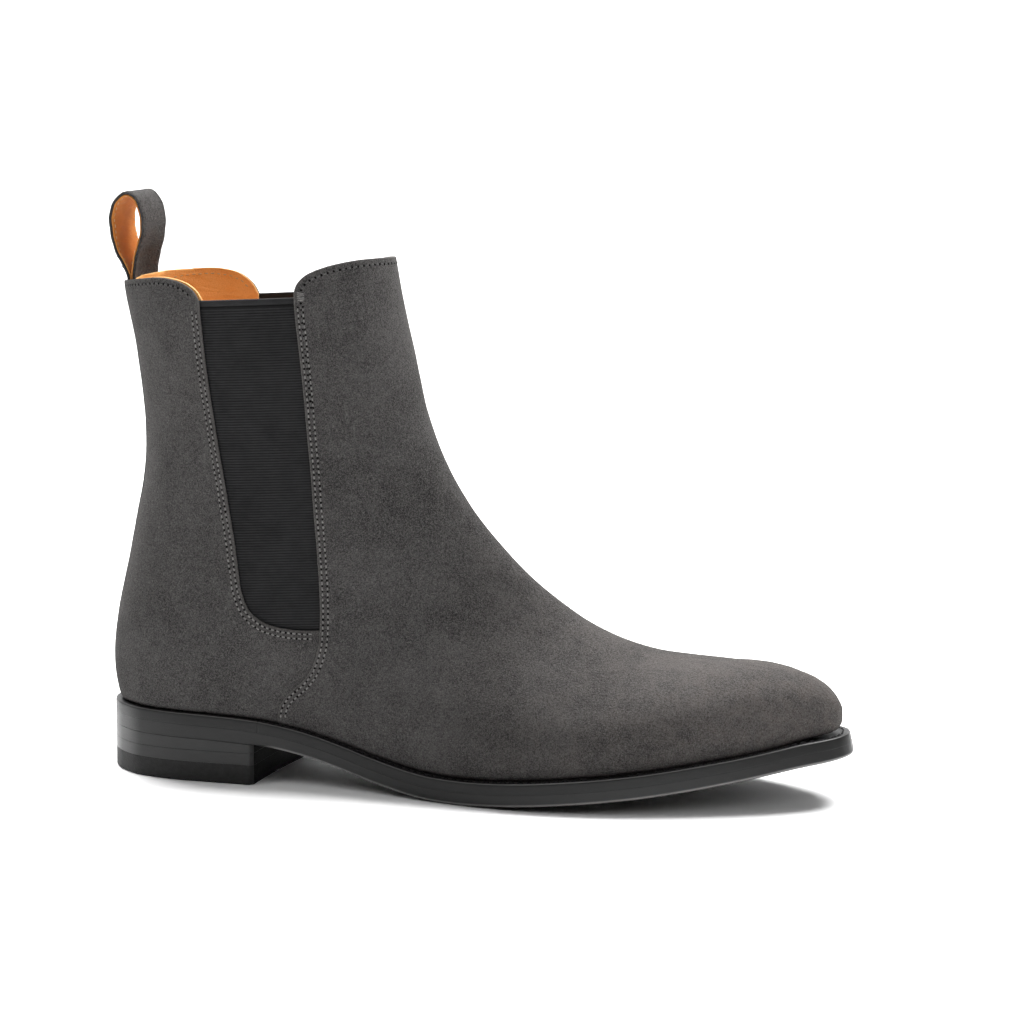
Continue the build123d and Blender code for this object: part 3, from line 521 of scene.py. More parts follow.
def gore_mesh(name, side):
    """Each row is one line across the window, from under the rear suede edge to under the front one."""
    rear = dense([(92, 53.2), (79, 54.6), (69.0, 58.6), (61.6, 66.6), (58.0, 80.0), (55.8, 94.0), (53.4, 106.0), (50.6, 119.4),
                  (48.0, 132.6), (46.1, 144.2), (44.6, 156.0), (43.2, 169.0), (42.0, 187.0), (41.9, 191)])
    front = dense([(104.0, 53.0), (105.0, 62), (104.6, 80), (100.6, 134), (97.6, 171), (95.4, 191)])
    pitch = 1.02
    ztop = 187.0
    n_r = int((ztop - 54.0) / pitch)
    sub = 4
    zr = ztop - np.arange(n_r * sub + 1)[::-1] * pitch / sub
    nx = 34
    x0 = edge_x(rear, zr); x1 = edge_x(front, zr)
    t = np.linspace(0, 1, nx)
    X = x0[:, None] + (x1 - x0)[:, None] * t; Z = zr[:, None] + .048 * (X - 49) + .0006 * 0
    p, n = SIDE[side](X, Z)
    ph = (ztop - zr) / pitch
    rib = .5 - .5 * np.cos(2 * np.pi * ph)
    rib = .24 * rib ** .7
    # the top edge is a firm selvedge: a smooth band with a groove under it
    dz = ztop - zr
    rib = np.where(dz < 2.1, .22 * np.sqrt(np.clip(1 - ((dz - 1.0) / 1.1) ** 2, 0, 1)) + .05, rib)
    rib = np.where((dz >= 2.1) & (dz < 2.7), -.12, rib)
    tone = .035 * np.sin(X * 1.9 + np.floor(ph)[:, None] * 2.4) + .02 * np.sin(X * .7 - np.floor(ph)[:, None] * .9)
    off = 1.5 - rib[:, None] - tone
    # it is drawn in a little between its two seams
    off = off + .35 * np.sin(np.pi * t)[None, :] ** 2 * sstep(56, 80, zr)[:, None]
    top = p - n * off[..., None]
    R, C = X.shape
    # back face, plain ribs
    bot = p - n * (off + 1.0 + .0 * X + 1.6 * rib[:, None])[..., None]
    top = top.reshape(-1, 3); bot = bot.reshape(-1, 3); m = R * C
    F = []
    for i in range(R - 1):
        for j in range(C - 1):
            a = i * C + j
            F.append([a, a + 1, a + C + 1, a + C]); F.append([m + a, m + a + C, m + a + C + 1, m + a + 1])
    ring = [j for j in range(C)] + [i * C + C - 1 for i in range(1, R)] + [(R - 1) * C + j for j in range(C - 2, -1, -1)] + [i * C for i in range(R - 2, 0, -1)]
    nT = n.reshape(-1, 3)
    # rounded selvedge all round: one middle ring
    mid = (top[ring] + bot[ring]) / 2
    up = np.zeros_like(mid)
    for k, v in enumerate(ring):
        if v // C == R - 1:
            up[k] = (0, 0, .28)
    mid = mid + up; base = 2 * m; K = len(ring)
    for k in range(K):
        a, b = ring[k], ring[(k + 1) % K]; c, d = base + k, base + (k + 1) % K
        F.append([b, a, c, d]); F.append([d, c, m + a, m + b])
    ob = mesh_obj(name, np.concatenate([top, bot, mid]), F)
    # the rib height is kept on the points; the elastic's finish paints shade into the grooves from it
    tn = np.repeat(np.clip(rib / .24, -.4, 1.2), C); tn = np.concatenate([tn, tn, np.ones(K) * .6])
    ob.data.attributes.new("rib", "FLOAT", "POINT").data.foreach_set("value", tn.astype(np.float32))
    return orient(ob)


gore_l = gore_mesh("gore_lateral_elastic", -1)
gore_m = gore_mesh("gore_medial_elastic", 1)


# ------------------------------------------------------------------ thread
def offset2(curve, d):
    """A side-view curve moved sideways (positive to its left)."""
    t = np.gradient(curve, axis=0); t /= np.maximum(np.hypot(*t.T)[:, None], 1e-9)
    return curve + d * np.stack([-t[:, 1], t[:, 0]], 1)


def resample(p, step, both=None):
    s = np.concatenate([[0], np.cumsum(np.linalg.norm(np.diff(p, axis=0), axis=1))])
    n = max(2, int(round(s[-1] / step))); q = np.linspace(0, s[-1], n + 1)
    f = lambda A: np.stack([np.interp(q, s, A[:, k]) for k in range(A.shape[1])], 1)
    return f(p), (f(both) if both is not None else None)


def stitches(name, runs, pitch=2.15, length=1.42, width=.66, height=.30, lift=.0, jitter=.07):
    """Thread between its holes: each stitch a low rounded bar that dips into the surface at both ends."""
    prof = [(-.5, -.55), (-.47, -.1), (-.34, .55), (-.12, .92), (.12, .95), (.34, .58), (.47, -.08), (.5, -.55)]
    wid = [.25, .62, .95, 1, 1, .95, .62, .25]
    ang = np.linspace(0, 2 * np.pi, 7)[:-1]
    V_, F_ = [], []; n0 = 0
    for p, n in runs:
        q, m = resample(p, pitch / 6, n)
        k = np.arange(3, len(q) - 3, 6)
        for c in k:
            o = q[c]; t = q[min(c + 2, len(q) - 1)] - q[max(c - 2, 0)]; t /= np.linalg.norm(t)
            u = m[c] / np.linalg.norm(m[c]); w = np.cross(t, u); w /= np.linalg.norm(w); u = np.cross(w, t)
            o = o + w * rng.normal(0, .05)
            t = t + w * rng.normal(0, jitter); t /= np.linalg.norm(t); w = np.cross(t, u)
            L = length * (1 + rng.normal(0, .10)); H = height * (1 + rng.normal(0, .2))
            o = o + u * lift
            for (a, h), g in zip(prof, wid):
                for x in ang:
                    V_.append(o + t * (a * L) + u * (h * H - .15 + .5 * H * math.sin(x) * g * .9) + w * (.5 * width * g * math.cos(x)))
            R = len(prof); C = len(ang)
            for i in range(R - 1):
                for j in range(C):
                    F_.append([n0 + i * C + j, n0 + i * C + (j + 1) % C, n0 + (i + 1) * C + (j + 1) % C, n0 + (i + 1) * C + j])
            F_.append([n0 + j for j in range(C - 1, -1, -1)]); F_.append([n0 + (R - 1) * C + j for j in range(C)])
            n0 += R * C
    return orient(mesh_obj(name, np.array(V_), F_))


def holes(name, runs, pitch=2.15, r=.38, lift=.03):
    """The needle's holes between the stitches: small dark dished spots, near-black discs of painted shade standing in
    for the holes' shadow.
    """
    V_, F_ = [], []; n0 = 0; ang = np.linspace(0, 2 * np.pi, 9)[:-1]
    for p, n in runs:
        q, m = resample(p, pitch / 6, n)
        for c in np.arange(6, len(q) - 3, 6):
            o = q[c]; t = q[min(c + 1, len(q) - 1)] - q[c - 1]; t /= np.linalg.norm(t)
            u = m[c] / np.linalg.norm(m[c]); w = np.cross(t, u); w /= np.linalg.norm(w)
            rr = r * (1 + rng.normal(0, .12))
            for a, h in ((1.0, -.12), (1.0, .035), (.7, .05)):
                for x in ang:
                    V_.append(o + t * (rr * a * .92 * math.cos(x)) + w * (rr * a * math.sin(x)) + u * (h + lift))
            for i in range(2):
                for j in range(8):
                    F_.append([n0 + i * 8 + j, n0 + i * 8 + (j + 1) % 8, n0 + (i + 1) * 8 + (j + 1) % 8, n0 + (i + 1) * 8 + j])
            F_.append([n0 + j for j in range(7, -1, -1)]); F_.append([n0 + 16 + j for j in range(8)])
            n0 += 24
    return orient(mesh_obj(name, np.array(V_), F_))


def on_side(curve, side, off, inward=False):
    p, n = SIDE[side](curve[:, 0], curve[:, 1])
    o = np.asarray(off) - waves(p) - .1
    return p - n * o[:, None], (-n if inward else n)


def column_run(F, level, cols, off, rows, inward=False):
    """The line across the columns where F reaches level, coming from the mouth."""
    uv = []
    for j in cols:
        f = F[:rows, j % S.nt] - level
        k = np.where((f[:-1] <= 0) & (f[1:] > 0))[0]
        if len(k):
            i = k[0]; uv.append((i + f[i] / (f[i] - f[i + 1]), j))
    uv = np.array(uv, float)
    p = at(S, P, uv); n = at(S, N, uv); n /= np.linalg.norm(n, axis=1, keepdims=True)
    k = at(S, -WV, uv)[:, None] * (.3 if inward else 1) - (0 if inward else .1)
    return p - n * (off + k), (-n if inward else n)


FRONT_EDGE = np.concatenate([D_LOW[D_LOW[:, 1] > 25.5], D_UP[1:]])
up_to = lambda c, z: c[c[:, 1] < z]
vs, qs = [], []
fe = up_to(FRONT_EDGE, 187)
for side in (-1, 1):
    for d in (-.95, -2.85):
        c = offset2(fe, d); c = c[c[:, 1] > under(c[:, 0]) + EDGE_T + 2.2]
        dl = np.sqrt(((c[:, None, :] - D_LOW[None, :, :]) ** 2).sum(-1)).min(1)
        vs.append(on_side(c, side, -.55 * sew_field(dl, 9)))
    re = D_REAR[(D_REAR[:, 1] < 184)]
    for d in (.95, 2.8):
        c = offset2(re, d)
        qs.append(on_side(c[c[:, 0] < 95.6], side, 0))
vamp_thread = stitches("vamp_seam_stitches", vs)
quarter_thread = stitches("gore_rear_seam_stitches", qs)
vamp_holes = holes("vamp_seam_holes", vs); quarter_holes = holes("gore_rear_seam_holes", qs)
nr = int(S.nv * .22)
front_cols = [j for j in range(-S.nt // 2, S.nt // 2) if P[:nr, j % S.nt, 0].mean() > 84]
back_cols = [j for j in range(0, S.nt) if P[:nr, j % S.nt, 0].mean() < 56]
front_cols.sort(); back_cols.sort()
vt = [column_run(D_FRONT, 2.1, front_cols, .02, nr)]
vti = [column_run(D_FRONT, 2.1, front_cols, 3.42, nr, True)]
qt = [column_run(D_REARP, 1.9, back_cols, .02, nr)]
qti = [column_run(D_REARP, 2.1, back_cols, 3.42, nr, True)]
front_top_thread = stitches("topline_front_stitches", vt, pitch=2.5, length=1.85)
back_top_thread = stitches("topline_back_stitches", qt, pitch=2.5, length=1.85)
inner_top_f = stitches("lining_front_stitches", vti, pitch=2.5, length=1.7, width=.36, height=.22)
inner_top_b = stitches("lining_back_stitches", qti, pitch=2.5, length=1.7, width=.36, height=.22)

front_top_holes = holes("topline_front_holes", vt, 2.5, .46)
back_top_holes = holes("topline_back_holes", qt, 2.5, .46)

# a small bar tack where the vamp, the top line and the elastic meet
bars_f = []
for side in (-1, 1):
    for k in range(5):
        c = np.linspace((88.9 + .05 * k, 190.9 - .66 * k), (91.7 + .05 * k, 190.5 - .66 * k), 8)
        bars_f.append(on_side(c, side, -.1))
tack_f = stitches("front_bar_tacks", bars_f, pitch=2.9, length=2.7, width=.5, height=.4, jitter=.05)


# ------------------------------------------------------------------ pull loop
LOOP = [(11.9, 187.0), (11.4, 191.2), (11.0, 195.3), (8.8, 199.6), (6.5, 203.3), (4.3, 208.0), (3.0, 214.0), (2.8, 217.4), (3.4, 221.8),
        (5.1, 225.6), (7.8, 228.0), (11.3, 228.7), (14.4, 227.0), (16.7, 223.2), (17.9, 217.1), (17.3, 209.4), (15.5, 203.4),
        (14.6, 196.2), (14.3, 191.4), (14.1, 187.0)]


def strap(name, o0, o1, half, shrink=0.0):
    c = dense(LOOP, .8)
    for _ in range(6):
        c[1:-1] = .25 * c[:-2] + .5 * c[1:-1] + .25 * c[2:]
    t = np.gradient(c, axis=0); t /= np.hypot(*t.T)[:, None]
    nrm = np.stack([t[:, 1] * -1, t[:, 0]], 1)                 # left of travel: outwards
    ny = 25; y = np.linspace(-half, half, ny)
    sq = 1 - sstep(190, 196.5, c[:, 1])                        # the ends thin out where they go in
    foot = 1 - sstep(194, 216, c[:, 1])
    n = len(c); u = np.arange(n) / (n - 1)
    wav = (.16 * np.sin(u * 61 + y[:, None] * .12) * np.sin(u * 23 + .6 + y[:, None] * .05)).T * sstep(197, 202, c[:, 1])[:, None]
    edge = 1 - np.clip((half - np.abs(y)) / .55, 0, 1)

    def surf(o):
        off = (o * (1 - .45 * sq))[:, None] + (edge ** 2 * (.26 if o == o0 else -.2))[None, :] - wav
        x = c[:, 0][:, None] - nrm[:, 0][:, None] * off; z = c[:, 1][:, None] - nrm[:, 1][:, None] * off
        x = x - .024 * (144 - y[None, :] ** 2) * foot[:, None]
        z = z + .042 * (y[None, :] + 11) * sstep(204, 225, z)
        return np.stack([x, y[None, :] + 0 * x, z], -1)
    a, b = surf(o0), surf(o1); R, C = a.shape[:2]
    V_ = np.concatenate([a.reshape(-1, 3), b.reshape(-1, 3)]); m = R * C; F = []
    for i in range(R - 1):
        for j in range(C - 1):
            q = [i * C + j, i * C + j + 1, (i + 1) * C + j + 1, (i + 1) * C + j]
            F.append(q); F.append([m + k for k in reversed(q)])
        for j in (0, C - 1):
            q = [i * C + j, (i + 1) * C + j, m + (i + 1) * C + j, m + i * C + j]
            F.append(q if j == 0 else q[::-1])
    for i in (0, R - 1):
        for j in range(C - 1):
            q = [i * C + j, i * C + j + 1, m + i * C + j + 1, m + i * C + j]
            F.append(q)
    ob = orient(mesh_obj(name, V_, F))
    return ob, a


loop_s, LS = strap("pull_loop_suede", 0.0, 1.15, 11.3)
loop_l, LL = strap("pull_loop_lining_strap", 1.18, 1.9, 11.1)
runs = []
zc = LS[:, 0, 2]
ok = np.where(zc > 198)[0]
for yy in (-9.4, 9.4):
    j = int(round((yy + 11.3) / 22.6 * (LS.shape[1] - 1)))
    p = LS[ok, j]
    t = np.gradient(p, axis=0); n = np.cross(t, np.array([0, 1., 0])); n /= np.linalg.norm(n, axis=1, keepdims=True)
    cc = LS[ok].mean((0, 1)); n *= np.sign(((p - cc) * n).sum(1, keepdims=True))
    runs.append((p, n))
iruns = []
for yy in (-9.4, 9.4):
    j = int(round((yy + 11.3) / 22.6 * (LS.shape[1] - 1))); p = LS[ok, j]
    t = np.gradient(p, axis=0); n = np.cross(t, np.array([0, 1., 0])); n /= np.linalg.norm(n, axis=1, keepdims=True)
    cc = LS[ok].mean((0, 1)); n *= -np.sign(((p - cc) * n).sum(1, keepdims=True))
    iruns.append((p + n * 1.93, n))
loop_inner_thread = stitches("pull_loop_inner_stitches", iruns, pitch=2.3, length=1.6, width=.42, height=.24)
loop_thread = stitches("pull_loop_stitches", runs, pitch=2.3, length=1.65, width=.4, height=.28)


# ------------------------------------------------------------------ the bottom
def plan(n):
    t = np.linspace(0, 1, 6001); X = 300 * (.5 - .5 * np.cos(np.pi * t))
    Q = np.concatenate([np.stack([X, -lat(X)], 1), np.stack([X, med(X)], 1)[::-1][1:-1]])
    Q = np.concatenate([Q, Q[:1]]); s = np.concatenate([[0], np.cumsum(np.hypot(*np.diff(Q, axis=0).T))])
    q = np.linspace(0, s[-1], n, endpoint=False)
    return np.stack([np.interp(q, s, Q[:, 0]), np.interp(q, s, Q[:, 1])], 1)


def outward(Q, closed=True, n_s=4):
    for _ in range(n_s):
        Q = .25 * np.roll(Q, 1, 0) + .5 * Q + .25 * np.roll(Q, -1, 0)
    T = np.roll(Q, -1, 0) - np.roll(Q, 1, 0); T /= np.hypot(*T.T)[:, None]
    return np.stack([T[:, 1], -T[:, 0]], 1)


NP = 760
PL = plan(NP); PN = outward(PL)


# painted highlight: the lip attribute marks the rounded edge lips that the edge finish paints lighter, standing in for
# light caught on them
def lip_highlight_attr(ob, vals):
    a = np.zeros(len(ob.data.vertices)); a[:len(vals)] = vals
    ob.data.attributes.new("lip", "FLOAT", "POINT").data.foreach_set("value", a.astype(np.float32))
    return ob


def sweep(name, keep, prof, zfun=under, wob=None):
    """A bar along the sole's outline: prof is a closed loop of (inset, height over the sole's line)."""
    Q, M = PL[keep], PN[keep]; closed = len(keep) == NP
    V_ = []
    for k, (ins, h) in enumerate(prof):
        g = Q - M * (ins if np.ndim(ins) == 0 else ins[keep][:, None]) if np.ndim(ins) else Q - M * ins
        z = zfun(np.clip(g[:, 0], 0, 300)) + h
        if wob is not None:
            z = z + wob(k, keep)
        V_.append(np.column_stack([g, z]))
    R, C = len(prof), len(Q); V_ = sole_warp(np.concatenate(V_)); F = []
    for i in range(R):
        i2 = (i + 1) % R
        for j in range(C if closed else C - 1):
            j2 = (j + 1) % C
            F.append([i * C + j, i * C + j2, i2 * C + j2, i2 * C + j])
    if not closed:
        F.append([i * C for i in range(R)]); F.append([i * C + C - 1 for i in range(R)][::-1])
    # painted highlight on the welt's top lip
    lip = [.9 if h > 9.3 and ins < .5 else 0.0 for ins, h in prof]
    return lip_highlight_attr(orient(mesh_obj(name, V_, F)), np.repeat(lip, C))


xs_ = PL[:, 0]
side_lat = PL[:, 1] < 0
# welt: from the heel breast round the toe; index 0 is the heel, so the run is one piece of the loop
wi = np.where(xs_ > 73.0)[0]
WELT = [(.012, 5.205), (.0, 5.23), (0, 5.5), (.0, 8.6), (.06, 9.1), (.26, 9.46), (.6, 9.62), (1.3, 9.66), (2.1, 9.62), (3.2, 9.45), (4.3, 9.2),
        (6.0, 9.0), (9.0, 9.0), (14, 9.0), (14, 5.22), (6, 5.22)]
welt = sweep("welt_strip", wi, WELT)
ri = np.array([i - NP for i in range(wi[-1], NP)] + [i for i in range(0, wi[0] + 1)])
RAND = [(.012, 5.205), (.0, 5.23), (0, 5.5), (.0, 8.6), (.06, 9.1), (.26, 9.46), (.6, 9.62), (1.3, 9.66), (2.1, 9.62), (3.0, 9.4), (5, 9.0), (9, 9.0), (14, 9.0), (14, 5.22), (6, 5.22)]
rand_ = sweep("heel_seat_rand_strip", ri, RAND)


def slab_piece(name, Q, M, prof_side, low, high, grooves=()):
    """A sole layer: prof_side lists (inset, z function value) up the edge; both faces closed with rings and then strips."""
    n = len(Q); rows = []
    def ring(ins, zf):
        g = Q - M * ins
        return np.column_stack([g, zf(np.clip(g[:, 0], 0, 300))])
    seq = []
    for ins, dz in reversed(grooves):
        seq.append(ring(ins, lambda x, d=dz: low(x) + d))
    for ins, f in prof_side:
        seq.append(ring(ins, f))
    tops = [3.0, 8.0]
    for ins in tops:
        seq.append(ring(ins, high))
    R = len(seq); V_ = list(np.concatenate(seq)); F = []
    for i in range(R - 1):
        for j in range(n):
            j2 = (j + 1) % n
            F.append([i * n + j, i * n + j2, (i + 1) * n + j2, (i + 1) * n + j])
    # strips from side to side between the last rings
    m = 9
    for base, zf, flip in ((0, low, True), ((R - 1) * n, high, False)):
        cols = []
        h = n // 2
        for j in range(1, h):
            a, b = base + j, base + n - j
            A_, B_ = V_[a], V_[b]
            ids = [a]
            for k in range(1, m):
                g = A_ + (B_ - A_) * k / m
                V_.append(np.array([g[0], g[1], g[2] if base == 0 and grooves else zf(np.clip(g[0], 0, 300)) * 1.0]))
                ids.append(len(V_) - 1)
            ids.append(b); cols.append(ids)
        for ca, cb in zip(cols[:-1], cols[1:]):
            for k in range(m):
                F.append([ca[k], ca[k + 1], cb[k + 1], cb[k]])
        F.append([base] + cols[0][::-1][:1] + cols[0][::-1][1:])
        F.append([base + h] + cols[-1])
    ob = orient(mesh_obj(name, sole_warp(np.array(V_)), F))
    # painted highlight on the outsole's rounded lower lip, forward of the heel
    if grooves and len(grooves) > 3:
        lip = np.zeros(R); lip[len(grooves) + 1:len(grooves) + 4] = 1.5
        lip_highlight_attr(ob, np.repeat(lip, n) * np.tile(sstep(72, 84, Q[:, 0]), R))
    return ob


def sole_edge():
    lip = lambda x: sstep(66, 80, x)                 # the lower lip is rounded forward of the heel and flush over it
    side = [(2.2, 0, 0), (1.1, .06, .0), (.45, .34, .0), (.14, .8, .02), (.0, 1.4, .04), (0, 1.7, .3), (0, 2.5, 2.5),
            (0, 4.9, 4.9), (0, 5.17, 5.17), (.012, 5.195, 5.195), (1.4, 5.2, 5.2)]
    out = []
    for ins, dz, dzh in side:
        out.append((ins, (lambda x, a=dz, b=dzh: under(x) + b + (a - b) * lip(x))))
    return out


out_side = sole_edge()
chan = [(4.6, 0), (5.0, .0), (5.25, .45), (5.75, .5), (6.05, .05), (6.6, 0), (9.0, 0)]
outsole = slab_piece("outsole_leather", PL, PN, out_side, under, lambda x: under(x) + 5.2, chan)

# heel block outline: the sole's outline back to the breast, corners rounded
def heel_plan():
    k = np.where(xs_ <= 70.2)[0]
    k = np.array(sorted([i - NP if i > NP // 2 else i for i in k]))
    body = PL[k]                                   # medial breast -> heel -> lateral breast
    body = body[::1]
    a = body[-1]; b = body[0]
    arc = []
    m = 40
    for s_ in np.linspace(0, 1, m + 1)[1:-1]:
        y = a[1] + (b[1] - a[1]) * (s_)
        e = min(abs(y - a[1]), abs(y - b[1]))
        x = 71 - 1.2 * (1 - (y / 33.0) ** 2) - .9 * (1 - min(e / .9, 1)) ** 2.2
        arc.append((x, y))
    Q = np.concatenate([body, np.array(arc)])
    Qc = np.concatenate([Q, Q[:1]]); s = np.concatenate([[0], np.cumsum(np.hypot(*np.diff(Qc, axis=0).T))])
    q = np.linspace(0, s[-1], 520, endpoint=False)
    Q = np.stack([np.interp(q, s, Qc[:, 0]), np.interp(q, s, Qc[:, 1])], 1)
    k0 = np.argmin(Q[:, 0] + np.abs(Q[:, 1]) * .01)
    return np.roll(Q, -k0, 0)


HP = heel_plan(); HN = outward(HP, n_s=1)
c_ = lambda v: (lambda x: 0 * x + v)
def lift(name, z0, z1, top=None, ins=0.0, lip=.22):
    hi = top if top is not None else c_(z1)
    f = lambda t, d: (lambda x: z0 + (hi(x) - z0) * t + d)
    side = [(2.0, c_(z0)), (ins + lip * 1.6, c_(z0 + .0)), (ins + lip * .6, c_(z0 + lip * .25)), (ins + lip * .15, c_(z0 + lip * .8)), (ins, c_(z0 + lip * 1.5)), (ins, c_(z0 + lip * 1.5 + .25)), (ins, f(.5, 0)),
            (ins, f(1, -.3)), (ins, f(1, -.03)),
            (ins + .02, f(1, -.01)), (ins + .5, f(1, 0))]
    return slab_piece(name, HP, HN, side, c_(z0), hi, [(4.0, 0), (8.0, 0)])


top_piece = lift("heel_top_piece_rubber", 0.0, 7.59, ins=.0, lip=.3)
lift_low = lift("heel_lift_lower_leather", 7.6, 12.395, ins=.0, lip=.02)
lift_up = lift("heel_lift_upper_leather", 12.4, 17.0, top=lambda x: under(x) - .004, ins=.0, lip=.02)

# thread along the welt, close to the upper
def plan_run(ins, h, keep):
    g = PL[keep] - PN[keep] * ins
    return sole_warp(np.column_stack([g, under(np.clip(g[:, 0], 0, 300)) + h])), np.tile([0., 0, 1], (len(g), 1))


welt_thread = stitches("welt_stitches", [plan_run(2.5, 9.62, wi)], pitch=3.5, length=2.7, width=.62, height=.42, jitter=.02)


# ------------------------------------------------------------------ pieces on the root body; the rest baked in place (set_blend leaves its weight unused)
def w_shaft(z):
    return sstep(70, 104, z)


def set_blend(ob, w):
    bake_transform(ob)


def co(ob):
    c = np.empty(len(ob.data.vertices) * 3); ob.data.vertices.foreach_get("co", c)
    c = c.reshape(-1, 3) / MM; c[:, 0] += OX
    return c


for ob in (toe_puff, inner_top_f, vamp_holes, front_top_holes, vamp, vamp_lining, vamp_thread, front_top_thread, tack_f, welt, rand_, outsole, top_piece, lift_low, lift_up, welt_thread):
    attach(ob, "root")
for ob in (inner_top_b, quarter_holes, back_top_holes, quarter_l, quarter_m, lin_l, lin_m, backstay, quarter_thread, back_top_thread):
    set_blend(ob, w_shaft(co(ob)[:, 2]))
for ob in (gore_l, gore_m):
    c = co(ob); xf = edge_x(D_UP, np.clip(c[:, 2], 61.1, 190)); xr = edge_x(D_REAR[::-1], np.clip(c[:, 2], 68, 187))
    set_blend(ob, w_shaft(c[:, 2]) * sstep(0, 1, np.clip((xf - c[:, 0]) / np.maximum(xf - xr, 1), 0, 1)))
for ob in (loop_s, loop_l, loop_thread, loop_inner_thread):
    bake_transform(ob)

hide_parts("toe_puff")
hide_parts("vamp")
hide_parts("vamp_lining")
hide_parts("quarter_lateral", "quarter_lateral_heel")
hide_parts("quarter_medial", "quarter_medial_heel")
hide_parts("quarter_lining_lateral", "heel_lining")
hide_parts("quarter_lining_medial", "heel_lining")
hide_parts("backstay", "backstay_heel")
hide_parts("gore_lateral")
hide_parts("gore_medial")
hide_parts("pull_loop")
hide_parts("pull_loop_lining")
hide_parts("welt")
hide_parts("heel_seat_rand")
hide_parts("outsole")
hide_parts("heel_top_piece")
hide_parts("heel_lift_lower")
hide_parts("heel_lift_upper")


# ------------------------------------------------------------------ finishes
def srgb(r, g, b):
    f = lambda c: c / 12.92 if c <= .04045 else ((c + .055) / 1.055) ** 2.4
    return (f(r / 255), f(g / 255), f(b / 255), 1)


class Mat:
    """A small builder for node materials in object space, metres."""
    def __init__(self, name):
        self.m = bpy.data.materials.new(name); self.m.use_nodes = True
        self.t = self.m.node_tree; self.t.nodes.clear()
        self.out = self.n("ShaderNodeOutputMaterial"); self.b = self.n("ShaderNodeBsdfPrincipled")
        self.l(self.b.outputs[0], self.out.inputs[0])
        self.tc = self.n("ShaderNodeTexCoord").outputs["Object"]

    def n(self, k, **kw):
        x = self.t.nodes.new(k)
        for a, v in kw.items():
            setattr(x, a, v)
        return x

    def l(self, a, b):
        self.t.links.new(a, b)

    def noise(self, scale, detail=3, rough=.55, stretch=None, dist=0):
        n = self.n("ShaderNodeTexNoise"); n.inputs["Scale"].default_value = scale
        n.inputs["Detail"].default_value = detail; n.inputs["Roughness"].default_value = rough; n.inputs["Distortion"].default_value = dist
        src = self.tc
        if stretch:
            mp = self.n("ShaderNodeMapping"); mp.inputs["Scale"].default_value = stretch
            self.l(src, mp.inputs[0]); src = mp.outputs[0]
        self.l(src, n.inputs["Vector"]); return n.outputs[0]

    def voro(self, scale, stretch=None, feature="F1"):
        n = self.n("ShaderNodeTexVoronoi", feature=feature); n.inputs["Scale"].default_value = scale
        src = self.tc
        if stretch:
            mp = self.n("ShaderNodeMapping"); mp.inputs["Scale"].default_value = stretch
            self.l(src, mp.inputs[0]); src = mp.outputs[0]
        self.l(src, n.inputs["Vector"]); return n.outputs[0]

    def ramp(self, f, stops):
        r = self.n("ShaderNodeValToRGB"); e = r.color_ramp.elements
        e[0].position, e[0].color = stops[0][0], stops[0][1]; e[1].position, e[1].color = stops[-1][0], stops[-1][1]
        for p, c in stops[1:-1]:
            q = e.new(p); q.color = c
        self.l(f, r.inputs[0]); return r.outputs[0]

    def mapr(self, f, a, b, c, d):
        r = self.n("ShaderNodeMapRange"); self.l(f, r.inputs[0])
        for i, v in enumerate((a, b, c, d)):
            r.inputs[i + 1].default_value = v
        return r.outputs[0]

    def mix(self, f, a, b, mode="MIX"):
        x = self.n("ShaderNodeMix", data_type="RGBA", blend_type=mode)
        for s, v in ((0, f), (6, a), (7, b)):
            if isinstance(v, (int, float, tuple)):
                x.inputs[s].default_value = v
            else:
                self.l(v, x.inputs[s])
        return x.outputs[2]

    def math(self, op, a, b=0.0):
        x = self.n("ShaderNodeMath", operation=op)
        for i, v in enumerate((a, b)):
            if isinstance(v, (int, float)):
                x.inputs[i].default_value = v
            else:
                self.l(v, x.inputs[i])
        return x.outputs[0]

    def bump(self, *layers):
        """layers: (height, distance in metres)"""
        prev = None
        for h, d in layers:
            b = self.n("ShaderNodeBump"); b.inputs["Strength"].default_value = 1.0; b.inputs["Distance"].default_value = d
            self.l(h, b.inputs["Height"])
            if prev is not None:
                self.l(prev, b.inputs["Normal"])
            prev = b.outputs[0]
        self.l(prev, self.b.inputs["Normal"])

    def set(self, **kw):
        names = dict(color="Base Color", rough="Roughness", spec="Specular IOR Level", metal="Metallic", sheen="Sheen Weight",
                     sheen_rough="Sheen Roughness", sheen_tint="Sheen Tint", coat="Coat Weight", coat_rough="Coat Roughness")
        for k, v in kw.items():
            i = self.b.inputs[names[k]]
            if isinstance(v, (int, float, tuple)):
                i.default_value = v
            else:
                self.l(v, i)
        return self

    def axis(self, k):
        s = self.n("ShaderNodeSeparateXYZ"); self.l(self.tc, s.inputs[0]); return s.outputs[k]


def g(v): return (v, v, v, 1)


def rimmed(m, base, light, k):
    a = m.n("ShaderNodeAttribute", attribute_name="rim")
    return m.mix(m.math("MULTIPLY", a.outputs["Fac"], k), base, light)


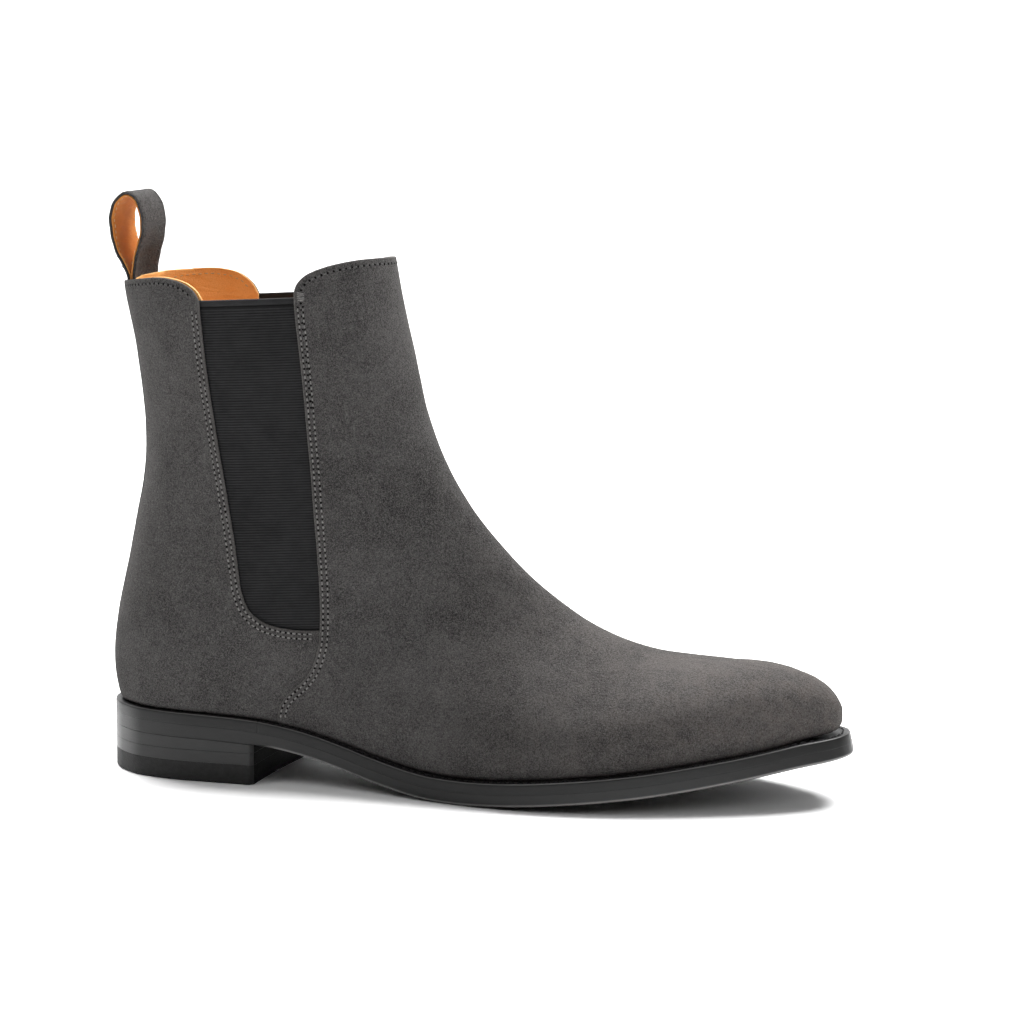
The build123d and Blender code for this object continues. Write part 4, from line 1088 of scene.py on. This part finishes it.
def mat_suede(name="suede_charcoal", warm=True):
    m = Mat(name)
    big = m.noise(15, 2, .5, dist=.5); mid = m.noise(42, 3, .55, dist=.6); nap = m.noise(1150, 3, .6); fib = m.noise(2400, 3, .7)
    cloud = m.noise(110, 3, .55, dist=.9)
    base = m.ramp(big, [(.33, srgb(28, 28, 29)), (.5, srgb(46, 46, 47)), (.66, srgb(76, 74, 74))])
    base = m.mix(m.mapr(mid, .36, .64, 0, 1), m.mix(.55, base, srgb(31, 30, 31)), m.mix(.50, base, srgb(84, 82, 82)))
    base = m.mix(m.mapr(cloud, .36, .66, 0, 1), m.mix(.20, base, srgb(30, 29, 30)), m.mix(.20, base, srgb(100, 98, 97)))
    # browner and lighter towards the toe
    if warm:
        toe = m.math("MULTIPLY", m.mapr(m.axis(0), .10, .25, 0, 1), m.mapr(cloud, .38, .62, .35, 1))
        base = m.mix(toe, base, m.mix(.58, base, srgb(112, 102, 97)))
    base = m.mix(m.mapr(nap, .36, .64, 0, 1), m.mix(.34, base, srgb(20, 20, 20)), m.mix(.24, base, srgb(112, 110, 109)))
    base = m.mix(m.mapr(fib, .46, .70, 0, .75), base, srgb(126, 123, 121))
    base = m.mix(m.mapr(fib, .44, .28, 0, .62), base, srgb(14, 14, 14))
    base = m.mix(.30, base, srgb(6, 6, 6))
    # painted shade: the suede darkens towards the welt, more from the waist forward, standing in for the shade in the
    # crease where the upper turns in at the welt
    low = m.math("MULTIPLY", m.mapr(m.axis(2), .022, .052, .24, 0), m.mapr(m.axis(0), .08, .16, .3, 1))
    base = m.mix(low, base, srgb(8, 8, 8))
    base = rimmed(m, base, srgb(92, 90, 88), .55)
    m.set(color=base, rough=.95, spec=.08, sheen=.13, sheen_rough=.5, sheen_tint=srgb(180, 176, 172))
    m.bump((cloud, .0004), (nap, .00042), (fib, .0003))
    return m.m


def mat_elastic():
    m = Mat("elastic_black")
    a = m.noise(120, 3, .6); w = m.noise(700, 2, .6, stretch=(.55, .55, 1)); f = m.noise(1800, 2, .6)
    c = m.ramp(a, [(.3, srgb(32, 32, 33)), (.7, srgb(41, 41, 42))])
    c = m.mix(m.mapr(w, .46, .74, 0, .45), c, srgb(44, 44, 45))
    rib = m.n("ShaderNodeAttribute", attribute_name="rib").outputs["Fac"]
    # painted shade: the grooves between the ribs, and the groove under the top selvedge, are darkened towards black
    # from the rib height
    c = m.mix(m.mapr(rib, .75, .05, 0, .85), c, srgb(5, 5, 5))
    m.set(color=c, rough=.85, spec=.14, sheen=.15, sheen_rough=.4, sheen_tint=g(.5))
    m.bump((w, .00012), (f, .00006))
    return m.m


def mat_leather(name, c0, c1, c2, rough=.5, grain=1100, depth=.00008, coat=0.0, spec=.25, rim=None):
    m = Mat(name)
    big = m.noise(30, 4, .6); mid = m.noise(160, 4, .6); v = m.voro(grain, feature="DISTANCE_TO_EDGE"); cr = m.noise(60, 2, .5, stretch=(1, 1, 4), dist=1.5)
    c = m.ramp(big, [(.28, c0), (.5, c1), (.74, c2)])
    c = m.mix(m.mapr(mid, .35, .7, 0, .3), c, c2); c = m.mix(m.mapr(v, .0, .09, .35, 0), c, c0)
    if rim:
        c = rimmed(m, c, rim, .8)
    m.set(color=c, rough=m.mapr(mid, .3, .7, rough - .07, rough + .1), spec=spec, coat=coat, coat_rough=.3)
    m.bump((cr, .0005), (m.mapr(v, 0, .12, 0, 1), depth), (mid, .00025))
    return m.m


def mat_edge(name, c0, c1, rough, streak=0, coat=.3):
    """Blackened, waxed leather edge, with faint fibres running along it."""
    m = Mat(name)
    a = m.noise(60, 4, .6); f = m.noise(260, 4, .65, stretch=(1, 1, 7 if streak else 1)); s = m.noise(1300, 2, .6)
    c = m.ramp(a, [(.3, c0), (.7, c1)]); c = m.mix(m.mapr(f, .5, .75, 0, .22), c, tuple(min(1, x * 2.0) for x in c1[:3]) + (1,))
    # painted highlight: the marked lips are mixed towards light grey
    lip_highlight = m.n("ShaderNodeAttribute", attribute_name="lip").outputs["Fac"]
    c = m.mix(m.math("MULTIPLY", lip_highlight, .55), c, srgb(112, 111, 110))
    m.set(color=c, rough=m.mapr(f, .3, .7, rough - .02, rough + .04), spec=.32, coat=coat, coat_rough=.34)
    m.bump((f, .00003), (s, .00003))
    return m.m


def mat_plain(name, c0, c1, rough=.8, scale=300, bump=.0001, metal=0.0, spec=.3, kind="noise"):
    m = Mat(name)
    a = m.noise(scale, 4, .65); b = m.voro(scale * 2.2) if kind == "voro" else m.noise(scale * 4, 3, .6)
    c = m.ramp(a, [(.3, c0), (.7, c1)]); c = m.mix(m.mapr(b, .4, .8, 0, .35), c, c0)
    m.set(color=c, rough=rough, spec=spec, metal=metal); m.bump((a, bump * 2), (b, bump))
    return m.m


M_SUEDE = mat_suede()
M_SUEDE_STRAP = mat_suede("suede_strap", warm=False)
M_ELASTIC = mat_elastic()
M_TAN = mat_leather("lining_tan", srgb(208, 136, 66), srgb(238, 166, 92), srgb(248, 188, 116), .66, rim=srgb(246, 192, 126))
M_STRAPTAN = mat_leather("strap_lining_tan", srgb(164, 100, 44), srgb(196, 128, 66), srgb(216, 152, 88), .78, spec=.12)
M_WELT = mat_edge("welt_black", srgb(4, 4, 4), srgb(8, 8, 8), .46, 1, .05)
M_SOLE = mat_edge("sole_edge_black", srgb(6, 6, 6), srgb(11, 11, 11), .44, 1, .1)
M_HEEL = mat_edge("heel_edge_black", srgb(20, 20, 20), srgb(27, 27, 27), .44, 1, .12)
M_RUBBER = mat_plain("heel_rubber", srgb(24, 24, 24), srgb(34, 34, 34), .6, 500, .00006, spec=.22)
# painted shade: near-black finish for the needle holes, standing in for the shade inside them
M_HOLE_PAINTED_SHADE = mat_plain("needle_hole_painted_shade", srgb(4, 4, 4), srgb(10, 10, 10), .9, 900, .00002, spec=.05)
M_THREAD_TOP = mat_plain("thread_charcoal", srgb(62, 61, 61), srgb(98, 97, 96), .85, 1500, .00006, spec=.1)
M_THREAD = mat_plain("thread_grey", srgb(86, 85, 84), srgb(140, 138, 136), .85, 1500, .00006, spec=.1)
M_THREAD_DK = mat_plain("thread_black", srgb(24, 24, 25), srgb(44, 43, 43), .6, 1500, .00006)
M_THREAD_TAN = mat_plain("thread_cream", srgb(176, 150, 110), srgb(212, 190, 150), .8, 1500, .00006)
M_INTER = mat_plain("interlining_cloth", srgb(196, 190, 176), srgb(222, 217, 205), .9, 900, .0001)
M_BOARD = mat_plain("counter_board", srgb(150, 126, 96), srgb(182, 156, 122), .85, 500, .0001)
M_INSOLE = mat_plain("insole_board", srgb(166, 132, 92), srgb(196, 162, 118), .85, 600, .0001)
M_SOCK = mat_leather("sock_tan", srgb(168, 108, 52), srgb(192, 130, 70), srgb(206, 148, 86), .55)
M_FOAM = mat_plain("pad_foam", srgb(206, 196, 168), srgb(228, 220, 196), .95, 1200, .0002, kind="voro")
M_CORK = mat_plain("cork", srgb(112, 72, 40), srgb(186, 138, 90), .95, 420, .0004, kind="voro")
M_STEEL = mat_plain("spring_steel", srgb(120, 122, 126), srgb(168, 170, 174), .35, 300, .00003, metal=1.0, spec=.5)
M_NAIL = mat_plain("nail_steel", srgb(130, 130, 130), srgb(176, 176, 178), .38, 600, .00003, metal=1.0, spec=.5)


# painted shade: the heel breast's faces are made near-black and matte, standing in for the shade under the arch
M_BREAST_PAINTED_SHADE = mat_plain("heel_breast_painted_shade", srgb(5, 5, 5), srgb(9, 9, 9), .85, 400, .0001, spec=.06)
M_UNDER = mat_leather("sole_underside", srgb(10, 9, 9), srgb(15, 14, 14), srgb(21, 20, 20), .75, spec=.1)


def give2(ob, m, test):
    """A second finish on the faces that pass test(normal, centre in mm)."""
    ob.data.materials.append(m)
    for p in ob.data.polygons:
        c = p.center
        if test(p.normal, (c[0] / MM + OX, c[1] / MM, c[2] / MM)):
            p.material_index = 1


def give(ob, m):
    ob.data.materials.clear(); ob.data.materials.append(m)


for ob in (vamp, quarter_l, quarter_m, backstay):
    give(ob, M_SUEDE)
give(loop_s, M_SUEDE_STRAP); give(toe_puff, M_BOARD)
give(gore_l, M_ELASTIC); give(gore_m, M_ELASTIC)
for ob in (vamp_lining, lin_l, lin_m):
    give(ob, M_TAN)
give(loop_l, M_STRAPTAN)
give(welt, M_WELT); give(rand_, M_WELT)
give(outsole, M_SOLE)
give(lift_low, M_HEEL); give(lift_up, M_HEEL)
give(top_piece, M_RUBBER)
for ob in (vamp_thread, quarter_thread, tack_f):
    give(ob, M_THREAD)
for ob in (loop_thread, front_top_thread, back_top_thread):
    give(ob, M_THREAD_TOP)
for ob in (vamp_holes, quarter_holes, front_top_holes, back_top_holes):
    give(ob, M_HOLE_PAINTED_SHADE)
give(loop_inner_thread, M_THREAD_TAN); give(inner_top_f, M_THREAD_TAN); give(inner_top_b, M_THREAD_TAN)
give(welt_thread, M_THREAD_DK)
# the breast faces of the heel layers take the painted-shade finish
for ob in (top_piece, lift_low, lift_up):
    give2(ob, M_BREAST_PAINTED_SHADE, lambda n, c: n[0] > .75 and c[0] > 68)
give2(outsole, M_UNDER, lambda n, c: n[2] < -.85)

CAD_MATS = {"suede": M_SUEDE, "strap_suede": M_SUEDE_STRAP, "elastic": M_ELASTIC, "lining_leather": M_TAN, "strap_lining": M_STRAPTAN,
            "interlining": M_INTER, "counter_board": M_BOARD, "welt_leather": M_WELT, "sole_leather": M_SOLE, "heel_leather": M_HEEL,
            "heel_rubber": M_RUBBER, "insole_board": M_INSOLE, "sock_leather": M_SOCK, "foam": M_FOAM, "cork": M_CORK,
            "spring_steel": M_STEEL, "nail_steel": M_NAIL}
NODE_SLOT = {"heel_counter": "counter_board", "toe_puff": "counter_board", "vamp_interlining": "interlining",
             "quarter_interlining_lateral": "interlining", "quarter_interlining_medial": "interlining", "shank": "spring_steel",
             "cork_filler": "cork", "heel_pad": "foam", "insole": "insole_board", "sock_liner": "sock_leather", "heel_nails": "nail_steel",
             "top_piece_nails": "nail_steel", "pull_loop_tails": "strap_suede", "vamp": "suede", "vamp_lining": "lining_leather",
             "quarter_lateral": "suede", "quarter_medial": "suede", "quarter_lateral_heel": "suede", "quarter_medial_heel": "suede",
             "backstay": "suede", "backstay_heel": "suede", "quarter_lining_lateral": "lining_leather",
             "quarter_lining_medial": "lining_leather", "heel_lining": "lining_leather", "gore_lateral": "elastic", "gore_medial": "elastic",
             "pull_loop": "strap_suede", "pull_loop_lining": "strap_lining", "welt": "welt_leather", "heel_seat_rand": "welt_leather",
             "outsole": "sole_leather", "heel_top_piece": "heel_rubber", "heel_lift_lower": "heel_leather", "heel_lift_upper": "heel_leather"}
for name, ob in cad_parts.items():
    m = CAD_MATS[NODE_SLOT[name]]
    if not len(ob.material_slots):
        ob.data.materials.append(m)
    for s_ in ob.material_slots:
        s_.material = m

# ------------------------------------------------------------------ floor, light, camera
def floor():
    W = 6.0; prof = [(-3.0, 0), (1.0, 0)]
    for k in range(1, 33):
        a = math.pi / 2 * k / 32; prof.append((1.0 + 2.6 * math.sin(a), 2.6 * (1 - math.cos(a))))
    prof.append((3.6, 6.0))
    a = math.radians(17); d = np.array([-math.sin(a), math.cos(a)]); r = np.array([math.cos(a), math.sin(a)])
    V_ = [(d[0] * p + r[0] * w, d[1] * p + r[1] * w, h - .0002) for p, h in prof for w in (-W, W)]
    me = bpy.data.meshes.new("floor"); me.from_pydata(V_, [], [[2 * k, 2 * k + 1, 2 * k + 3, 2 * k + 2] for k in range(len(prof) - 1)])
    me.polygons.foreach_set("use_smooth", [True] * len(me.polygons))
    ob = bpy.data.objects.new("floor", me); bpy.context.scene.collection.objects.link(ob); return ob


fl = floor()
m = Mat("floor_white"); a_ = m.noise(6, 2, .5)
m.set(color=m.ramp(a_, [(.3, g(.93)), (.7, g(.95))]), rough=.75, spec=.2)
fl.data.materials.append(m.m)

sc = bpy.context.scene
w = bpy.data.worlds.new("studio"); sc.world = w; w.use_nodes = True
bg = w.node_tree.nodes.get("Background"); bg.inputs[0].default_value = (1, 1, 1, 1); bg.inputs[1].default_value = .1


def area(name, loc, target, size, power, color=(1, 1, 1)):
    d = bpy.data.lights.new(name, "AREA"); d.shape = "RECTANGLE"; d.size, d.size_y = size; d.energy = power; d.color = color
    o = bpy.data.objects.new(name, d); sc.collection.objects.link(o); o.location = loc
    o.rotation_euler = (Vector(target) - Vector(loc)).to_track_quat("-Z", "Y").to_euler(); return o


area("key", (-.9, -1.1, 1.5), (.08, 0, .10), (1.0, 1.0), 9)
area("top_left", (-.62, .50, 1.5), (.10, 0, .0), (.7, .6), 40)
area("top_right", (.78, .52, 1.5), (.14, 0, .0), (.7, .6), 40)
area("fill", (1.3, -1.15, 1.1), (.12, 0, .10), (.9, .9), 6.5)
area("backdrop", (-.45, 1.5, 2.6), (-.75, 2.9, .45), (2.4, 1.2), 90)

cam = bpy.data.cameras.new("camera"); co_ = bpy.data.objects.new("camera", cam); sc.collection.objects.link(co_); sc.camera = co_
cam.sensor_width = 36; cam.sensor_height = 36; cam.lens = 3100 * 36 / 1024; cam.clip_start = .01; cam.clip_end = 30
ps = math.radians(17); pt = math.atan((512 - 135) / 3100)
R_ = Matrix(((math.cos(ps), -math.sin(ps) * math.sin(pt), math.sin(ps) * math.cos(pt)),
             (math.sin(ps), math.cos(ps) * math.sin(pt), -math.cos(ps) * math.cos(pt)),
             (0, math.cos(pt), math.sin(pt))))
co_.matrix_world = Matrix.Translation((.47723, -1.13581, .25059)) @ R_.to_4x4()
sc.view_settings.view_transform = "Standard"
